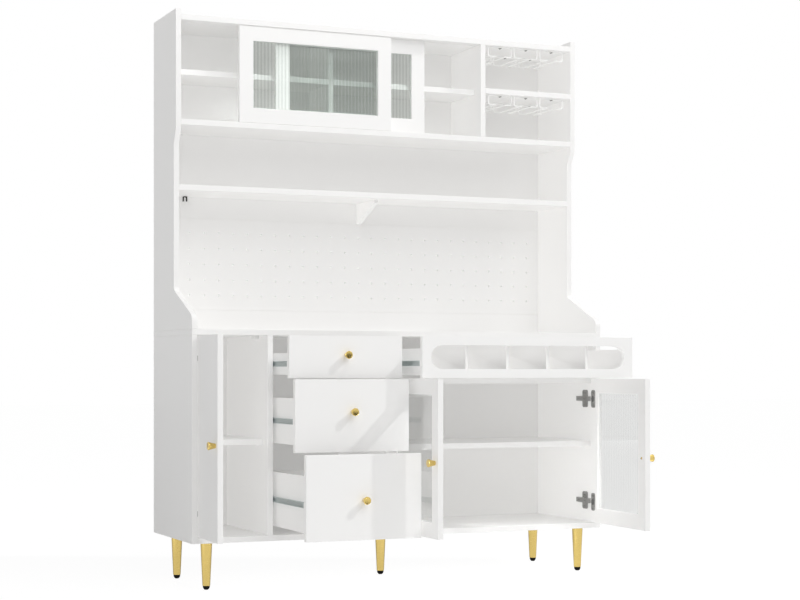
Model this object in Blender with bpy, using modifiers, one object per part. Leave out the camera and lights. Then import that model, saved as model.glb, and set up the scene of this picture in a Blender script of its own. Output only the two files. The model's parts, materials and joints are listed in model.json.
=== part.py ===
"""China cabinet with wine rack: a base cabinet on five turned legs, with a door, three drawers, a wine
drawer and two reeded glass doors, under an open hutch with a pegboard back, two sliding reeded glass
doors and wire hangers for stemware. It stands as photographed: drawers pulled out and doors open.

Metres, +Z up. The front faces -Y and the origin is on the floor under the middle leg.
"""
import math

import bmesh
import bpy
from mathutils import Matrix, Vector

for leftover in list(bpy.data.objects):
    bpy.data.objects.remove(leftover, do_unlink=True)

# Overall sizes
WIDTH = 1.460
DEPTH = 0.440
HEIGHT = 1.854
BOARD = 0.018
BACK_BOARD = 0.009
BACK_INSET = 0.011
FIT = 0.0003

# Legs
LEG_HEIGHT = 0.150
LEG_TOP_RADIUS = 0.0185
LEG_FOOT_RADIUS = 0.0122
PAD_HEIGHT = 0.0125
PAD_FLAT_RADIUS = 0.006
LEG_FROM_SIDE = 0.062
LEG_FROM_FRONT = 0.050
LEG_FROM_BACK = 0.062
LEG_SIDES = 20

# Base cabinet, from the underside of its floor to the top of its worktop
BASE_HEIGHT = 0.671
LEFT_BAY = WIDTH * 0.1582
CENTRE_BAY = WIDTH * 0.2658
TOP_ROW = 0.133
MIDDLE_ROW = 0.227
FRONT_GAP = 0.003
HINGE_GAP = 0.0008
LEFT_SHELF_RISE = 0.304
LEFT_SHELF_SETBACK = 0.045
RIGHT_SHELF_RISE = 0.280
RIGHT_SHELF_SETBACK = 0.035
WINE_FLOOR_SETBACK = 0.022

# Photographed opening of each leaf and drawer
LEFT_DOOR_OPEN = math.radians(92.0)
GLASS_LEFT_OPEN = math.radians(91.0)
GLASS_RIGHT_OPEN = math.radians(87.5)
PULL_1 = 0.143
PULL_2 = 0.196
PULL_3 = 0.292
PULL_WINE = 0.247

# Cup hinges
HINGE_FROM_EDGE = 0.070
PLATE_HEIGHT = 0.060
PLATE_DEPTH = 0.034
PLATE_THICKNESS = 0.003
PLATE_CORNER = 0.007
PLATE_FROM_FRONT = 0.070
ARM_HEIGHT = 0.016
ARM_FROM_FRONT = 0.026
ARM_LENGTH = 0.094
ARM_NOSE = 0.015
ARM_TAIL = 0.009
FLANGE_HEIGHT = 0.060
FLANGE_WIDTH = 0.026
FLANGE_THICKNESS = 0.0025
FLANGE_FROM_EDGE = 0.007
FLANGE_CORNER = 0.008

# Drawer boxes and their side-mounted runners
SLIDE_SPACE = 0.0127
BOX_WALL = 0.012
BOX_FLOOR = 0.006
BOX_FLOOR_RISE = 0.008
BOX_DEPTH = 0.368
BOX_RISE_1 = 0.011
BOX_RISE_2 = 0.023
BOX_RISE_3 = 0.024
BOX_RISE_WINE = 0.009
BOX_HEIGHT_1 = 0.068
BOX_HEIGHT_2 = 0.145
BOX_HEIGHT_3 = 0.173
BOX_HEIGHT_WINE = 0.085
RUNNER_HEIGHT = 0.017
RUNNER_LENGTH = 0.350
CHANNEL_WALL = 0.0015
CHANNEL_REACH = 0.009
CHANNEL_SETBACK = 0.021

# Wine drawer
WINDOW_HEIGHT = 0.075
WINDOW_MARGIN = 0.030
WINE_CELLS = 5
CELL_WALL = 0.009
CELL_WALL_RISE = 0.016
WINE_RUNNER_RISE = 0.038

# Knobs
KNOB_RADIUS = 0.0125
KNOB_MIDDLE_RADIUS = 0.0095
KNOB_BASE_RADIUS = 0.0075
KNOB_LENGTH = 0.024
KNOB_FROM_EDGE = 0.024
KNOB_SIDES = 16
LEFT_KNOB_RISE = 0.293
GLASS_KNOB_RISE = 0.235
KNOB_1_RISE = 0.073
KNOB_2_RISE = 0.125
KNOB_3_RISE = 0.122

# Framed glass leaves
STILE = 0.048
REBATE = 0.007
GLASS_THICKNESS = 0.004
RIB_PITCH = 0.012
RIB_HEIGHT = 0.0016
RIB_STEPS = 4
GLASS_FROM_FACE = 0.007

# Hutch sides
HUTCH_DEPTH = 0.262
WAIST_DEPTH = 0.238
FLARE_FRONT_RISE = 0.041
FLARE_BACK_RISE = 0.130
FLARE_RADIUS = 0.030
WAIST_RADIUS = 0.015
NECK_LOW = 0.058
NECK_HIGH = 0.016

# Hutch boards
TOP_BELOW_SIDES = 0.017
UPPER_ROOM = 0.319
MID_SHELF_ABOVE_PEGBOARD = 0.0715
UPPER_SHELF_RISE = 0.169
WINE_BAY = 0.3345
INNER_SETBACK = 0.052
RAIL_HEIGHT = 0.0755
PEGBOARD_HEIGHT = 0.306
PEG_PITCH_X = 0.051
PEG_PITCH_Z = 0.0525
PEG_ROWS = 5
PEG_RADIUS = 0.004
PEG_MARGIN = 0.030
PEG_SIDES = 6
BRACKET_REACH = 0.162
BRACKET_DROP = 0.071
BRACKET_TIP = 0.010
BRACKET_THICKNESS = 0.014

# Sliding doors and the grooves they run in
TRACK_FROM_FRONT = 0.012
TRACK_PITCH = 0.022
SLIDE_OVERLAP = 0.008
SLIDE_PLAY = 0.0015
TONGUE_WIDTH = 0.008
TONGUE_PLAY = 0.0005
GROOVE_DEPTH = 0.006
TOP_GROOVE_DEPTH = 0.010
TOP_TONGUE = 0.006
FRONT_LEAF_SHIFT = 0.196
REAR_LEAF_SHIFT = 0.201

# Wire stemware hangers
WIRE_RADIUS = 0.0022
HANGER_WIDTH = 0.0945
HANGER_SLOT = 0.033
HANGER_DROP = 0.036
HANGER_LENGTH = 0.160
HANGER_PITCH = 0.101
HANGER_FROM_FRONT = 0.020
HANGER_COUNT = 3
HANGER_BEND = 0.006

# Small fittings
CLIP_WIDTH = 0.017
CLIP_HEIGHT = 0.019
CLIP_DEPTH = 0.012
CLIP_WALL = 0.0025
CLIP_FROM_SIDE = 0.080
CLIP_FROM_BACK = 0.014
CATCH_WIDTH = 0.014
CATCH_LENGTH = 0.036
CATCH_HEIGHT = 0.012
CATCH_FROM_PARTITION = 0.022
CATCH_FROM_FRONT = 0.020

# Planes worked out from those sizes
LEFT = -WIDTH / 2
RIGHT = WIDTH / 2
FRONT = -DEPTH / 2
BACK = DEPTH / 2
BACK_FACE = BACK - BACK_INSET - BACK_BOARD
LEFT_IN = LEFT + BOARD
RIGHT_IN = RIGHT - BOARD
CENTRE_LEFT = LEFT_IN + LEFT_BAY + BOARD
CENTRE_RIGHT = CENTRE_LEFT + CENTRE_BAY
WIDE_LEFT = CENTRE_RIGHT + BOARD
FLOOR_TOP = LEG_HEIGHT + BOARD
WORKTOP_TOP = LEG_HEIGHT + BASE_HEIGHT
WORKTOP_UNDER = WORKTOP_TOP - BOARD
FRONT_TOP = WORKTOP_UNDER - FRONT_GAP
FRONT_BOTTOM = FLOOR_TOP + FRONT_GAP
TOP_ROW_BOTTOM = FRONT_TOP - TOP_ROW
MIDDLE_TOP = TOP_ROW_BOTTOM - FRONT_GAP
MIDDLE_BOTTOM = MIDDLE_TOP - MIDDLE_ROW
LOW_TOP = MIDDLE_BOTTOM - FRONT_GAP
FRONT_INNER = FRONT + BOARD
HUTCH_FRONT = BACK - HUTCH_DEPTH
WAIST_FRONT = BACK - WAIST_DEPTH
INNER_FRONT = HUTCH_FRONT + INNER_SETBACK
TOP_TOP = HEIGHT - TOP_BELOW_SIDES
TOP_UNDER = TOP_TOP - BOARD
UPPER_FLOOR = TOP_UNDER - UPPER_ROOM
UPPER_FLOOR_UNDER = UPPER_FLOOR - BOARD
WINE_LEFT = RIGHT_IN - WINE_BAY
SLIDING_RIGHT = WINE_LEFT - BOARD
PEG_BOTTOM = WORKTOP_TOP + RAIL_HEIGHT
PEG_TOP = PEG_BOTTOM + PEGBOARD_HEIGHT
LEFT_SHELF_TOP = FLOOR_TOP + LEFT_SHELF_RISE
RIGHT_SHELF_TOP = FLOOR_TOP + RIGHT_SHELF_RISE
MID_SHELF_TOP = PEG_TOP + MID_SHELF_ABOVE_PEGBOARD + BOARD
UPPER_SHELF_TOP = UPPER_FLOOR + UPPER_SHELF_RISE
GLASS_LEAF = (RIGHT_IN - WIDE_LEFT - 2 * HINGE_GAP - FRONT_GAP) / 2
RAIL_HALF = RUNNER_HEIGHT / 2 + FIT

# Looks: colour, roughness, metallic, alpha
LACQUER = ((0.89, 0.88, 0.86), 0.38, 0.0, 1.0)
BRASS = ((0.80, 0.61, 0.25), 0.28, 1.0, 1.0)
REEDED_GLASS = ((0.55, 0.60, 0.57), 0.12, 0.0, 0.45)
WHITE_WIRE = ((0.86, 0.86, 0.85), 0.35, 0.0, 1.0)
BLACK = ((0.02, 0.02, 0.02), 0.5, 0.0, 1.0)
GREY_PLASTIC = ((0.60, 0.60, 0.60), 0.5, 0.0, 1.0)


def new_collection(name):
    """A collection under the scene."""
    made = bpy.data.collections.new(name)
    bpy.context.scene.collection.children.link(made)
    return made


CABINET = new_collection("china_cabinet_with_wine_rack")
CUTTERS = new_collection("cutters")


def paint(piece, look):
    """Give a piece a material of its own."""
    colour, roughness, metallic, alpha = look
    material = bpy.data.materials.new(piece.name)
    material.use_nodes = True
    shader = material.node_tree.nodes["Principled BSDF"]
    shader.inputs["Base Color"].default_value = (*colour, 1.0)
    shader.inputs["Roughness"].default_value = roughness
    shader.inputs["Metallic"].default_value = metallic
    shader.inputs["Alpha"].default_value = alpha
    piece.data.materials.append(material)


def place(name, data, location, carrier, look):
    """Add an object, as a painted piece or, without a look, as a hidden cutter."""
    piece = bpy.data.objects.new(name, data)
    piece.location = location
    if carrier:
        piece.parent = carrier
        piece.location -= carrier.location
    if look:
        CABINET.objects.link(piece)
        paint(piece, look)
    else:
        CUTTERS.objects.link(piece)
        piece.hide_render = True
        piece.display_type = "WIRE"
    return piece


def block(name, low, high, carrier=None, look=LACQUER):
    """A board or bar between two corners, with its origin at its middle."""
    low = Vector(low)
    high = Vector(high)
    mesh = bpy.data.meshes.new(name)
    shape = bmesh.new()
    bmesh.ops.create_cube(shape, size=1.0, matrix=Matrix.Diagonal((*(high - low), 1.0)))
    shape.to_mesh(mesh)
    shape.free()
    return place(name, mesh, (low + high) / 2, carrier, look)


def solid_of(source, name):
    """The welded mesh of a curve or a modified object, which is then removed."""
    bpy.context.scene.collection.objects.link(source)
    bpy.context.view_layer.update()
    seen = source.evaluated_get(bpy.context.evaluated_depsgraph_get())
    mesh = bpy.data.meshes.new_from_object(seen)
    mesh.name = name
    bpy.data.objects.remove(source, do_unlink=True)
    shape = bmesh.new()
    shape.from_mesh(mesh)
    bmesh.ops.remove_doubles(shape, verts=shape.verts, dist=1e-6)
    bmesh.ops.recalc_face_normals(shape, faces=shape.faces)
    shape.to_mesh(mesh)
    shape.free()
    return mesh


def flat_mesh(name, outlines, thickness):
    """A plate with its outline in local XY and any further outlines as holes."""
    curve = bpy.data.curves.new(name, "CURVE")
    curve.dimensions = "2D"
    curve.fill_mode = "BOTH"
    curve.extrude = thickness / 2
    for outline in outlines:
        spline = curve.splines.new("POLY")
        spline.points.add(len(outline) - 1)
        for point, (across, up) in zip(spline.points, outline):
            point.co = (across, up, 0.0, 1.0)
        spline.use_cyclic_u = True
    return solid_of(bpy.data.objects.new(name, curve), name)


def turned_mesh(name, profile, sides):
    """A turned solid from (radius, height) points that run down its outer side."""
    mesh = bpy.data.meshes.new(name)
    shape = bmesh.new()
    rings = [shape.verts.new((radius, 0.0, height)) for radius, height in profile]
    for upper, lower in zip(rings, rings[1:]):
        shape.edges.new((upper, lower))
    shape.to_mesh(mesh)
    shape.free()
    blank = bpy.data.objects.new(name, mesh)
    screw = blank.modifiers.new("turn", "SCREW")
    screw.steps = sides
    screw.render_steps = sides
    screw.use_merge_vertices = True
    screw.merge_threshold = 0.00001
    solid = solid_of(blank, name)
    solid.shade_smooth()
    solid.set_sharp_from_angle(angle=math.radians(35))
    return solid


def wire_mesh(name, points):
    """A round wire along a path, with filled ends."""
    curve = bpy.data.curves.new(name, "CURVE")
    curve.dimensions = "3D"
    curve.bevel_depth = WIRE_RADIUS
    curve.bevel_resolution = 1
    curve.use_fill_caps = True
    spline = curve.splines.new("POLY")
    spline.points.add(len(points) - 1)
    for point, spot in zip(spline.points, points):
        point.co = (*spot, 1.0)
    return solid_of(bpy.data.objects.new(name, curve), name)


def join(piece, other, operation):
    """Unite a piece with a hidden one, or cut it with one."""
    boolean = piece.modifiers.new(other.name, "BOOLEAN")
    boolean.operation = operation
    boolean.object = other


def stand_in_yz(piece):
    """Turn a flat plate so that its outline lies in the YZ plane."""
    piece.rotation_euler = (math.pi / 2, 0.0, math.pi / 2)


def stand_in_xz(piece):
    """Turn a flat plate so that its outline lies in the XZ plane."""
    piece.rotation_euler = (math.pi / 2, 0.0, 0.0)


def arc(centre, radius, start, end, steps):
    """Points along an arc, both ends included."""
    turns = [start + (end - start) * step / steps for step in range(steps + 1)]
    return [(centre[0] + radius * math.cos(turn), centre[1] + radius * math.sin(turn)) for turn in turns]


def rounded(corners, steps=4):
    """An outline from (x, y, radius) corners, each rounded by an arc where its radius isn't 0."""
    outline = []
    for index, (x, y, radius) in enumerate(corners):
        here = Vector((x, y))
        before = Vector(corners[index - 1][:2]) - here
        after = Vector(corners[(index + 1) % len(corners)][:2]) - here
        if not radius:
            outline.append((x, y))
            continue
        half = before.angle(after) / 2
        inward = (before.normalized() + after.normalized()).normalized()
        centre = here + inward * radius / math.sin(half)
        start = here + before.normalized() * radius / math.tan(half) - centre
        sweep = start.angle_signed(here + after.normalized() * radius / math.tan(half) - centre)
        first = math.atan2(start.y, start.x)
        outline += arc(centre, radius, first, first - sweep, steps)
    return outline


def rectangle(width, height, corner=0.0, steps=4):
    """A rectangle about the origin, with equal rounded corners."""
    x = width / 2
    y = height / 2
    return rounded([(-x, -y, corner), (x, -y, corner), (x, y, corner), (-x, y, corner)], steps)


def carrier_at(name, location):
    """An empty on a joint's axis, which carries what moves."""
    empty = bpy.data.objects.new(name, None)
    empty.location = location
    CUTTERS.objects.link(empty)
    return empty


def runner_channel(panel, face, side, centre):
    """Unite a panel with the C-shaped runner on its face; side is +1 where the bay is at +X."""
    wall = CHANNEL_WALL
    half = RAIL_HALF
    reach = side * CHANNEL_REACH
    sunk = -side * wall
    outline = [(sunk, -half - wall), (reach, -half - wall), (reach, -half), (side * wall, -half),
               (side * wall, half), (reach, half), (reach, half + wall), (sunk, half + wall)]
    name = f"{panel.name}_runner_{centre:.3f}_{side}"
    middle = FRONT + CHANNEL_SETBACK + RUNNER_LENGTH / 2
    channel = place(name, flat_mesh(name, [outline], RUNNER_LENGTH), (face, middle, centre), None, None)
    stand_in_xz(channel)
    join(panel, channel, "UNION")


def hinge_arm(panel, face, side, centre):
    """Unite a panel with a cup hinge's mounting plate and arm."""
    name = f"{panel.name}_hinge_{centre:.3f}_{side}"
    cross = rectangle(PLATE_DEPTH, PLATE_HEIGHT, PLATE_CORNER, 3)
    sunk = PLATE_THICKNESS / 2
    plate_mesh = flat_mesh(name + "_plate", [cross], PLATE_THICKNESS + sunk)
    plate_x = face + side * (PLATE_THICKNESS - sunk) / 2
    plate = place(name + "_plate", plate_mesh, (plate_x, FRONT + PLATE_FROM_FRONT, centre), None, None)
    stand_in_yz(plate)
    back = -side * sunk
    end = ARM_FROM_FRONT + ARM_LENGTH
    plan = [(back, ARM_FROM_FRONT + ARM_NOSE / 2), (side * ARM_NOSE / 2, ARM_FROM_FRONT),
            (side * ARM_NOSE, ARM_FROM_FRONT), (side * ARM_NOSE, PLATE_FROM_FRONT),
            (side * ARM_TAIL, end), (back, end)]
    arm_mesh = flat_mesh(name + "_arm", [plan], ARM_HEIGHT)
    arm = place(name + "_arm", arm_mesh, (face, FRONT, centre), None, None)
    join(panel, plate, "UNION")
    join(panel, arm, "UNION")


def hinge_heights(bottom, top):
    """The two heights of a door's hinges."""
    return bottom + HINGE_FROM_EDGE, top - HINGE_FROM_EDGE


def hinge_flange(leaf, edge, side, centre, carrier):
    """Unite a leaf with the flange of a hinge cup on its inner face; side points to its free edge."""
    name = f"{leaf.name}_flange_{centre:.3f}"
    sunk = FLANGE_THICKNESS / 2
    outline = rectangle(FLANGE_WIDTH, FLANGE_HEIGHT, FLANGE_CORNER)
    spot = (edge + side * (FLANGE_FROM_EDGE + FLANGE_WIDTH / 2), FRONT_INNER + (FLANGE_THICKNESS - sunk) / 2, centre)
    flange = place(name, flat_mesh(name, [outline], FLANGE_THICKNESS + sunk), spot, carrier, None)
    stand_in_xz(flange)
    join(leaf, flange, "UNION")


def knob_mesh(name):
    """A turned knob that stands on its origin and flares from a small foot to a wide, rounded head."""
    head = KNOB_LENGTH - KNOB_RADIUS * 0.5
    crown = arc((KNOB_RADIUS - 0.0025, KNOB_LENGTH - 0.0025), 0.0025, math.pi / 2, -math.pi / 6, 3)
    profile = [(0.0, KNOB_LENGTH), *crown, (KNOB_MIDDLE_RADIUS, head / 2), (KNOB_BASE_RADIUS, 0.002),
               (KNOB_BASE_RADIUS, 0.0), (0.0, 0.0)]
    return turned_mesh(name, profile, KNOB_SIDES)


def knob(name, x, z, carrier):
    """A knob on a closed front, pointing forward."""
    piece = place(name, knob_mesh(name), (x, FRONT - FIT, z), carrier, BRASS)
    piece.rotation_euler = (math.pi / 2, 0.0, 0.0)
    return piece


def reeded_pane(name, low, high, front, carrier):
    """An upright pane with half-round ribs down its front face."""
    width = high[0] - low[0]
    count = max(1, round(width / RIB_PITCH))
    pitch = width / count
    ribs = []
    for rib in range(count):
        for step in range(RIB_STEPS):
            share = step / RIB_STEPS
            swell = RIB_HEIGHT * (1 - math.sin(math.pi * share))
            ribs.append((-width / 2 + (rib + share) * pitch, swell))
    thickness = GLASS_THICKNESS
    plan = [(-width / 2, thickness), *ribs, (width / 2, RIB_HEIGHT), (width / 2, thickness)]
    middle = ((low[0] + high[0]) / 2, front, (low[1] + high[1]) / 2)
    return place(name, flat_mesh(name, [plan], high[1] - low[1]), middle, carrier, REEDED_GLASS)


def framed_leaf(name, glass_name, low, high, face, carrier):
    """A frame with a reeded pane held in a groove round its opening; low and high are (x, z)."""
    frame = block(name, (low[0], face, low[1]), (high[0], face + BOARD, high[1]), carrier)
    open_low = (low[0] + STILE, low[1] + STILE)
    open_high = (high[0] - STILE, high[1] - STILE)
    window = block(name + "_window", (open_low[0], face - BOARD, open_low[1]),
                   (open_high[0], face + 2 * BOARD, open_high[1]), carrier, None)
    pane_low = (open_low[0] - REBATE, open_low[1] - REBATE)
    pane_high = (open_high[0] + REBATE, open_high[1] + REBATE)
    pane_face = face + GLASS_FROM_FACE
    groove = block(name + "_groove", (pane_low[0] - FIT, pane_face - FIT, pane_low[1] - FIT),
                   (pane_high[0] + FIT, pane_face + GLASS_THICKNESS + FIT, pane_high[1] + FIT), carrier, None)
    join(frame, window, "DIFFERENCE")
    join(frame, groove, "DIFFERENCE")
    reeded_pane(glass_name, pane_low, pane_high, pane_face, carrier)
    return frame


def leg(name, x, y):
    """A turned conical leg that ends in a domed pad with a flat foot."""
    dome = math.asin(PAD_FLAT_RADIUS / LEG_FOOT_RADIUS)
    pad = []
    for radius, height in arc((0.0, 0.0), 1.0, 0.0, -(math.pi / 2 - dome), 4):
        pad.append((radius * LEG_FOOT_RADIUS, PAD_HEIGHT * (1 + height / math.cos(dome))))
    profile = [(0.0, LEG_HEIGHT - FIT), (LEG_TOP_RADIUS, LEG_HEIGHT - FIT), *pad, (0.0, 0.0)]
    return place(name, turned_mesh(name, profile, LEG_SIDES), (x, y, 0.0), None, BRASS)


def build_legs():
    """Four corner legs and one under the middle."""
    near = FRONT + LEG_FROM_FRONT
    far = BACK - LEG_FROM_BACK
    leg("leg_front_left", LEFT + LEG_FROM_SIDE, near)
    leg("leg_front_right", RIGHT - LEG_FROM_SIDE, near)
    leg("leg_rear_left", LEFT + LEG_FROM_SIDE, far)
    leg("leg_rear_right", RIGHT - LEG_FROM_SIDE, far)
    leg("leg_centre", 0.0, 0.0)


def drawer_rows():
    """Each drawer of the centre bay: number, front bottom, front top, box rise, box height, pull, knob rise."""
    return [(1, TOP_ROW_BOTTOM, FRONT_TOP, BOX_RISE_1, BOX_HEIGHT_1, PULL_1, KNOB_1_RISE),
            (2, MIDDLE_BOTTOM, MIDDLE_TOP, BOX_RISE_2, BOX_HEIGHT_2, PULL_2, KNOB_2_RISE),
            (3, FRONT_BOTTOM, LOW_TOP, BOX_RISE_3, BOX_HEIGHT_3, PULL_3, KNOB_3_RISE)]


def build_base():
    """The base cabinet's boards, with runners and hinge arms on those that carry them."""
    top = WORKTOP_UNDER - FIT
    stand = FLOOR_TOP + FIT
    back = BACK_FACE - FIT
    left = block("base_left_side", (LEFT, FRONT, LEG_HEIGHT), (LEFT_IN, BACK, top))
    right = block("base_right_side", (RIGHT_IN, FRONT, LEG_HEIGHT), (RIGHT, BACK, top))
    block("base_floor", (LEFT_IN + FIT, FRONT, LEG_HEIGHT), (RIGHT_IN - FIT, BACK, FLOOR_TOP))
    block("worktop", (LEFT, FRONT, WORKTOP_UNDER), (RIGHT, BACK, WORKTOP_TOP))
    block("base_back", (LEFT_IN + FIT, BACK_FACE, stand), (RIGHT_IN - FIT, BACK_FACE + BACK_BOARD, top))
    left_wall = block("left_partition", (CENTRE_LEFT - BOARD, FRONT, stand), (CENTRE_LEFT, back, top))
    right_wall = block("right_partition", (CENTRE_RIGHT, FRONT, stand), (WIDE_LEFT, back, top))
    block("left_bay_shelf", (LEFT_IN + FIT, FRONT + LEFT_SHELF_SETBACK, LEFT_SHELF_TOP - BOARD),
          (CENTRE_LEFT - BOARD - FIT, back, LEFT_SHELF_TOP))
    block("right_bay_shelf", (WIDE_LEFT + FIT, FRONT + RIGHT_SHELF_SETBACK, RIGHT_SHELF_TOP - BOARD),
          (RIGHT_IN - FIT, back, RIGHT_SHELF_TOP))
    wine_floor = MIDDLE_TOP + FRONT_GAP / 2
    block("wine_bay_floor", (WIDE_LEFT + FIT, FRONT + WINE_FLOOR_SETBACK, wine_floor - BOARD),
          (RIGHT_IN - FIT, back, wine_floor))
    for _, bottom, _, rise, height, _, _ in drawer_rows():
        runner_channel(left_wall, CENTRE_LEFT, 1, bottom + rise + height / 2)
        runner_channel(right_wall, CENTRE_RIGHT, -1, bottom + rise + height / 2)
    wine_runner = TOP_ROW_BOTTOM + BOX_RISE_WINE + WINE_RUNNER_RISE
    runner_channel(right_wall, WIDE_LEFT, 1, wine_runner)
    runner_channel(right, RIGHT_IN, -1, wine_runner)
    for height in hinge_heights(FRONT_BOTTOM, FRONT_TOP):
        hinge_arm(left, LEFT_IN, 1, height)
    for height in hinge_heights(FRONT_BOTTOM, MIDDLE_TOP):
        hinge_arm(right_wall, WIDE_LEFT, 1, height)
        hinge_arm(right, RIGHT_IN, -1, height)
    catch_right = CENTRE_LEFT - BOARD - CATCH_FROM_PARTITION
    catch_front = FRONT + CATCH_FROM_FRONT
    block("door_catch", (catch_right - CATCH_WIDTH, catch_front, top - CATCH_HEIGHT),
          (catch_right, catch_front + CATCH_LENGTH, top), None, GREY_PLASTIC)


def build_left_door():
    """The plain door of the left bay, on its hinges' axis."""
    edge = LEFT_IN + HINGE_GAP
    free = CENTRE_LEFT - BOARD - FRONT_GAP
    carrier = carrier_at("left_door_axis", (edge, FRONT, FRONT_BOTTOM))
    leaf = block("left_door_panel", (edge, FRONT, FRONT_BOTTOM), (free, FRONT_INNER, FRONT_TOP), carrier)
    for height in hinge_heights(FRONT_BOTTOM, FRONT_TOP):
        hinge_flange(leaf, edge, 1, height, carrier)
    knob("left_door_knob", free - KNOB_FROM_EDGE, FRONT_BOTTOM + LEFT_KNOB_RISE, carrier)
    carrier.rotation_euler.z = -LEFT_DOOR_OPEN


def build_glass_doors():
    """The pair of framed doors under the wine drawer."""
    for hand, edge, side, opening in (("left", WIDE_LEFT + HINGE_GAP, 1, -GLASS_LEFT_OPEN),
                                      ("right", RIGHT_IN - HINGE_GAP, -1, GLASS_RIGHT_OPEN)):
        free = edge + side * GLASS_LEAF
        carrier = carrier_at(f"glass_door_{hand}_axis", (edge, FRONT, FRONT_BOTTOM))
        leaf = framed_leaf(f"glass_door_{hand}_frame", f"glass_door_{hand}_pane", (min(edge, free), FRONT_BOTTOM),
                           (max(edge, free), MIDDLE_TOP), FRONT, carrier)
        for height in hinge_heights(FRONT_BOTTOM, MIDDLE_TOP):
            hinge_flange(leaf, edge, side, height, carrier)
        knob(f"glass_door_{hand}_knob", free - side * KNOB_FROM_EDGE, FRONT_BOTTOM + GLASS_KNOB_RISE, carrier)
        carrier.rotation_euler.z = opening


def lower_walls(box, left, right, front, rear, top, carrier):
    """Cut the sides and the back of a box down to a height, so that its dividers stand over them."""
    beyond = BOX_WALL
    within = 2 * BOX_WALL
    high = top + 2 * CELL_WALL_RISE
    for wall, low_x, high_x, low_y in (("left", left - beyond, left + within, front - beyond),
                                       ("right", right - within, right + beyond, front - beyond),
                                       ("rear", left - beyond, right + beyond, rear - within)):
        excess = block(f"{box.name}_over_{wall}", (low_x, low_y, top), (high_x, rear + beyond, high), carrier, None)
        join(box, excess, "DIFFERENCE")


def drawer_box(name, left, right, bottom, height, runner_rise, cells, carrier):
    """A box open at the top, closed in front by the drawer front, with a runner bar on each side."""
    front = FRONT_INNER + FIT
    rear = front + BOX_DEPTH
    top = bottom + height
    box_top = top + CELL_WALL_RISE if cells > 1 else top
    box = block(name, (left, front, bottom), (right, rear, box_top), carrier)
    room = right - left - 2 * BOX_WALL - (cells - 1) * CELL_WALL
    step = room / cells + CELL_WALL
    floor = bottom + BOX_FLOOR_RISE + BOX_FLOOR
    for cell in range(cells):
        start = left + BOX_WALL + cell * step
        hollow = block(f"{name}_hollow_{cell}", (start, front - BOX_WALL, floor),
                       (start + room / cells, rear - BOX_WALL, top + height), carrier, None)
        join(box, hollow, "DIFFERENCE")
    if cells > 1:
        lower_walls(box, left, right, front, rear, top, carrier)
    recess = block(f"{name}_recess", (left + BOX_WALL, front - BOX_WALL, bottom - BOX_FLOOR_RISE),
                   (right - BOX_WALL, rear - BOX_WALL, bottom + BOX_FLOOR_RISE), carrier, None)
    join(box, recess, "DIFFERENCE")
    centre = bottom + runner_rise
    reach = SLIDE_SPACE - CHANNEL_WALL - FIT
    for face, side in ((left, -1), (right, 1)):
        ends = sorted((face - side * BOX_WALL / 2, face + side * reach))
        bar = block(f"{name}_bar_{side}", (ends[0], front, centre - RUNNER_HEIGHT / 2),
                    (ends[1], front + RUNNER_LENGTH, centre + RUNNER_HEIGHT / 2), carrier, None)
        join(box, bar, "UNION")
    return box


def build_drawers():
    """The three drawers of the centre bay, pulled out on their runners."""
    left = CENTRE_LEFT + FRONT_GAP
    right = CENTRE_RIGHT - FRONT_GAP
    for number, bottom, top, rise, height, pull, knob_rise in drawer_rows():
        carrier = carrier_at(f"drawer_{number}_slide", (0.0, FRONT, bottom))
        block(f"drawer_{number}_front", (left, FRONT, bottom), (right, FRONT_INNER, top), carrier)
        drawer_box(f"drawer_{number}_box", CENTRE_LEFT + SLIDE_SPACE, CENTRE_RIGHT - SLIDE_SPACE, bottom + rise,
                   height, height / 2, 1, carrier)
        knob(f"drawer_{number}_knob", (left + right) / 2, bottom + knob_rise, carrier)
        carrier.location.y -= pull


def build_wine_drawer():
    """The wide drawer for bottles, with a long round-ended opening in its front."""
    left = WIDE_LEFT + FRONT_GAP
    right = RIGHT_IN - FRONT_GAP
    carrier = carrier_at("wine_drawer_slide", (0.0, FRONT, TOP_ROW_BOTTOM))
    width = right - left
    window = rectangle(width - 2 * WINDOW_MARGIN, WINDOW_HEIGHT, WINDOW_HEIGHT / 2 - FIT)
    mesh = flat_mesh("wine_drawer_front", [rectangle(width, TOP_ROW), window], BOARD)
    middle = ((left + right) / 2, FRONT + BOARD / 2, (TOP_ROW_BOTTOM + FRONT_TOP) / 2)
    front = place("wine_drawer_front", mesh, middle, carrier, LACQUER)
    stand_in_xz(front)
    drawer_box("wine_drawer_box", WIDE_LEFT + SLIDE_SPACE, RIGHT_IN - SLIDE_SPACE, TOP_ROW_BOTTOM + BOX_RISE_WINE,
               BOX_HEIGHT_WINE, WINE_RUNNER_RISE, WINE_CELLS, carrier)
    carrier.location.y -= PULL_WINE


def hutch_side(name, x):
    """A profiled side: a flared foot on the worktop, a slim waist and a deeper head."""
    foot = WORKTOP_TOP + FIT
    corners = [(BACK, foot, 0), (BACK, HEIGHT, 0), (HUTCH_FRONT, HEIGHT, 0),
               (HUTCH_FRONT, UPPER_FLOOR_UNDER - NECK_HIGH, 0), (WAIST_FRONT, UPPER_FLOOR_UNDER - NECK_LOW, 0),
               (WAIST_FRONT, WORKTOP_TOP + FLARE_BACK_RISE, WAIST_RADIUS),
               (FRONT, WORKTOP_TOP + FLARE_FRONT_RISE, FLARE_RADIUS), (FRONT, foot, 0)]
    side = place(name, flat_mesh(name, [rounded(corners)], BOARD), (x, 0.0, 0.0), None, LACQUER)
    stand_in_yz(side)


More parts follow.
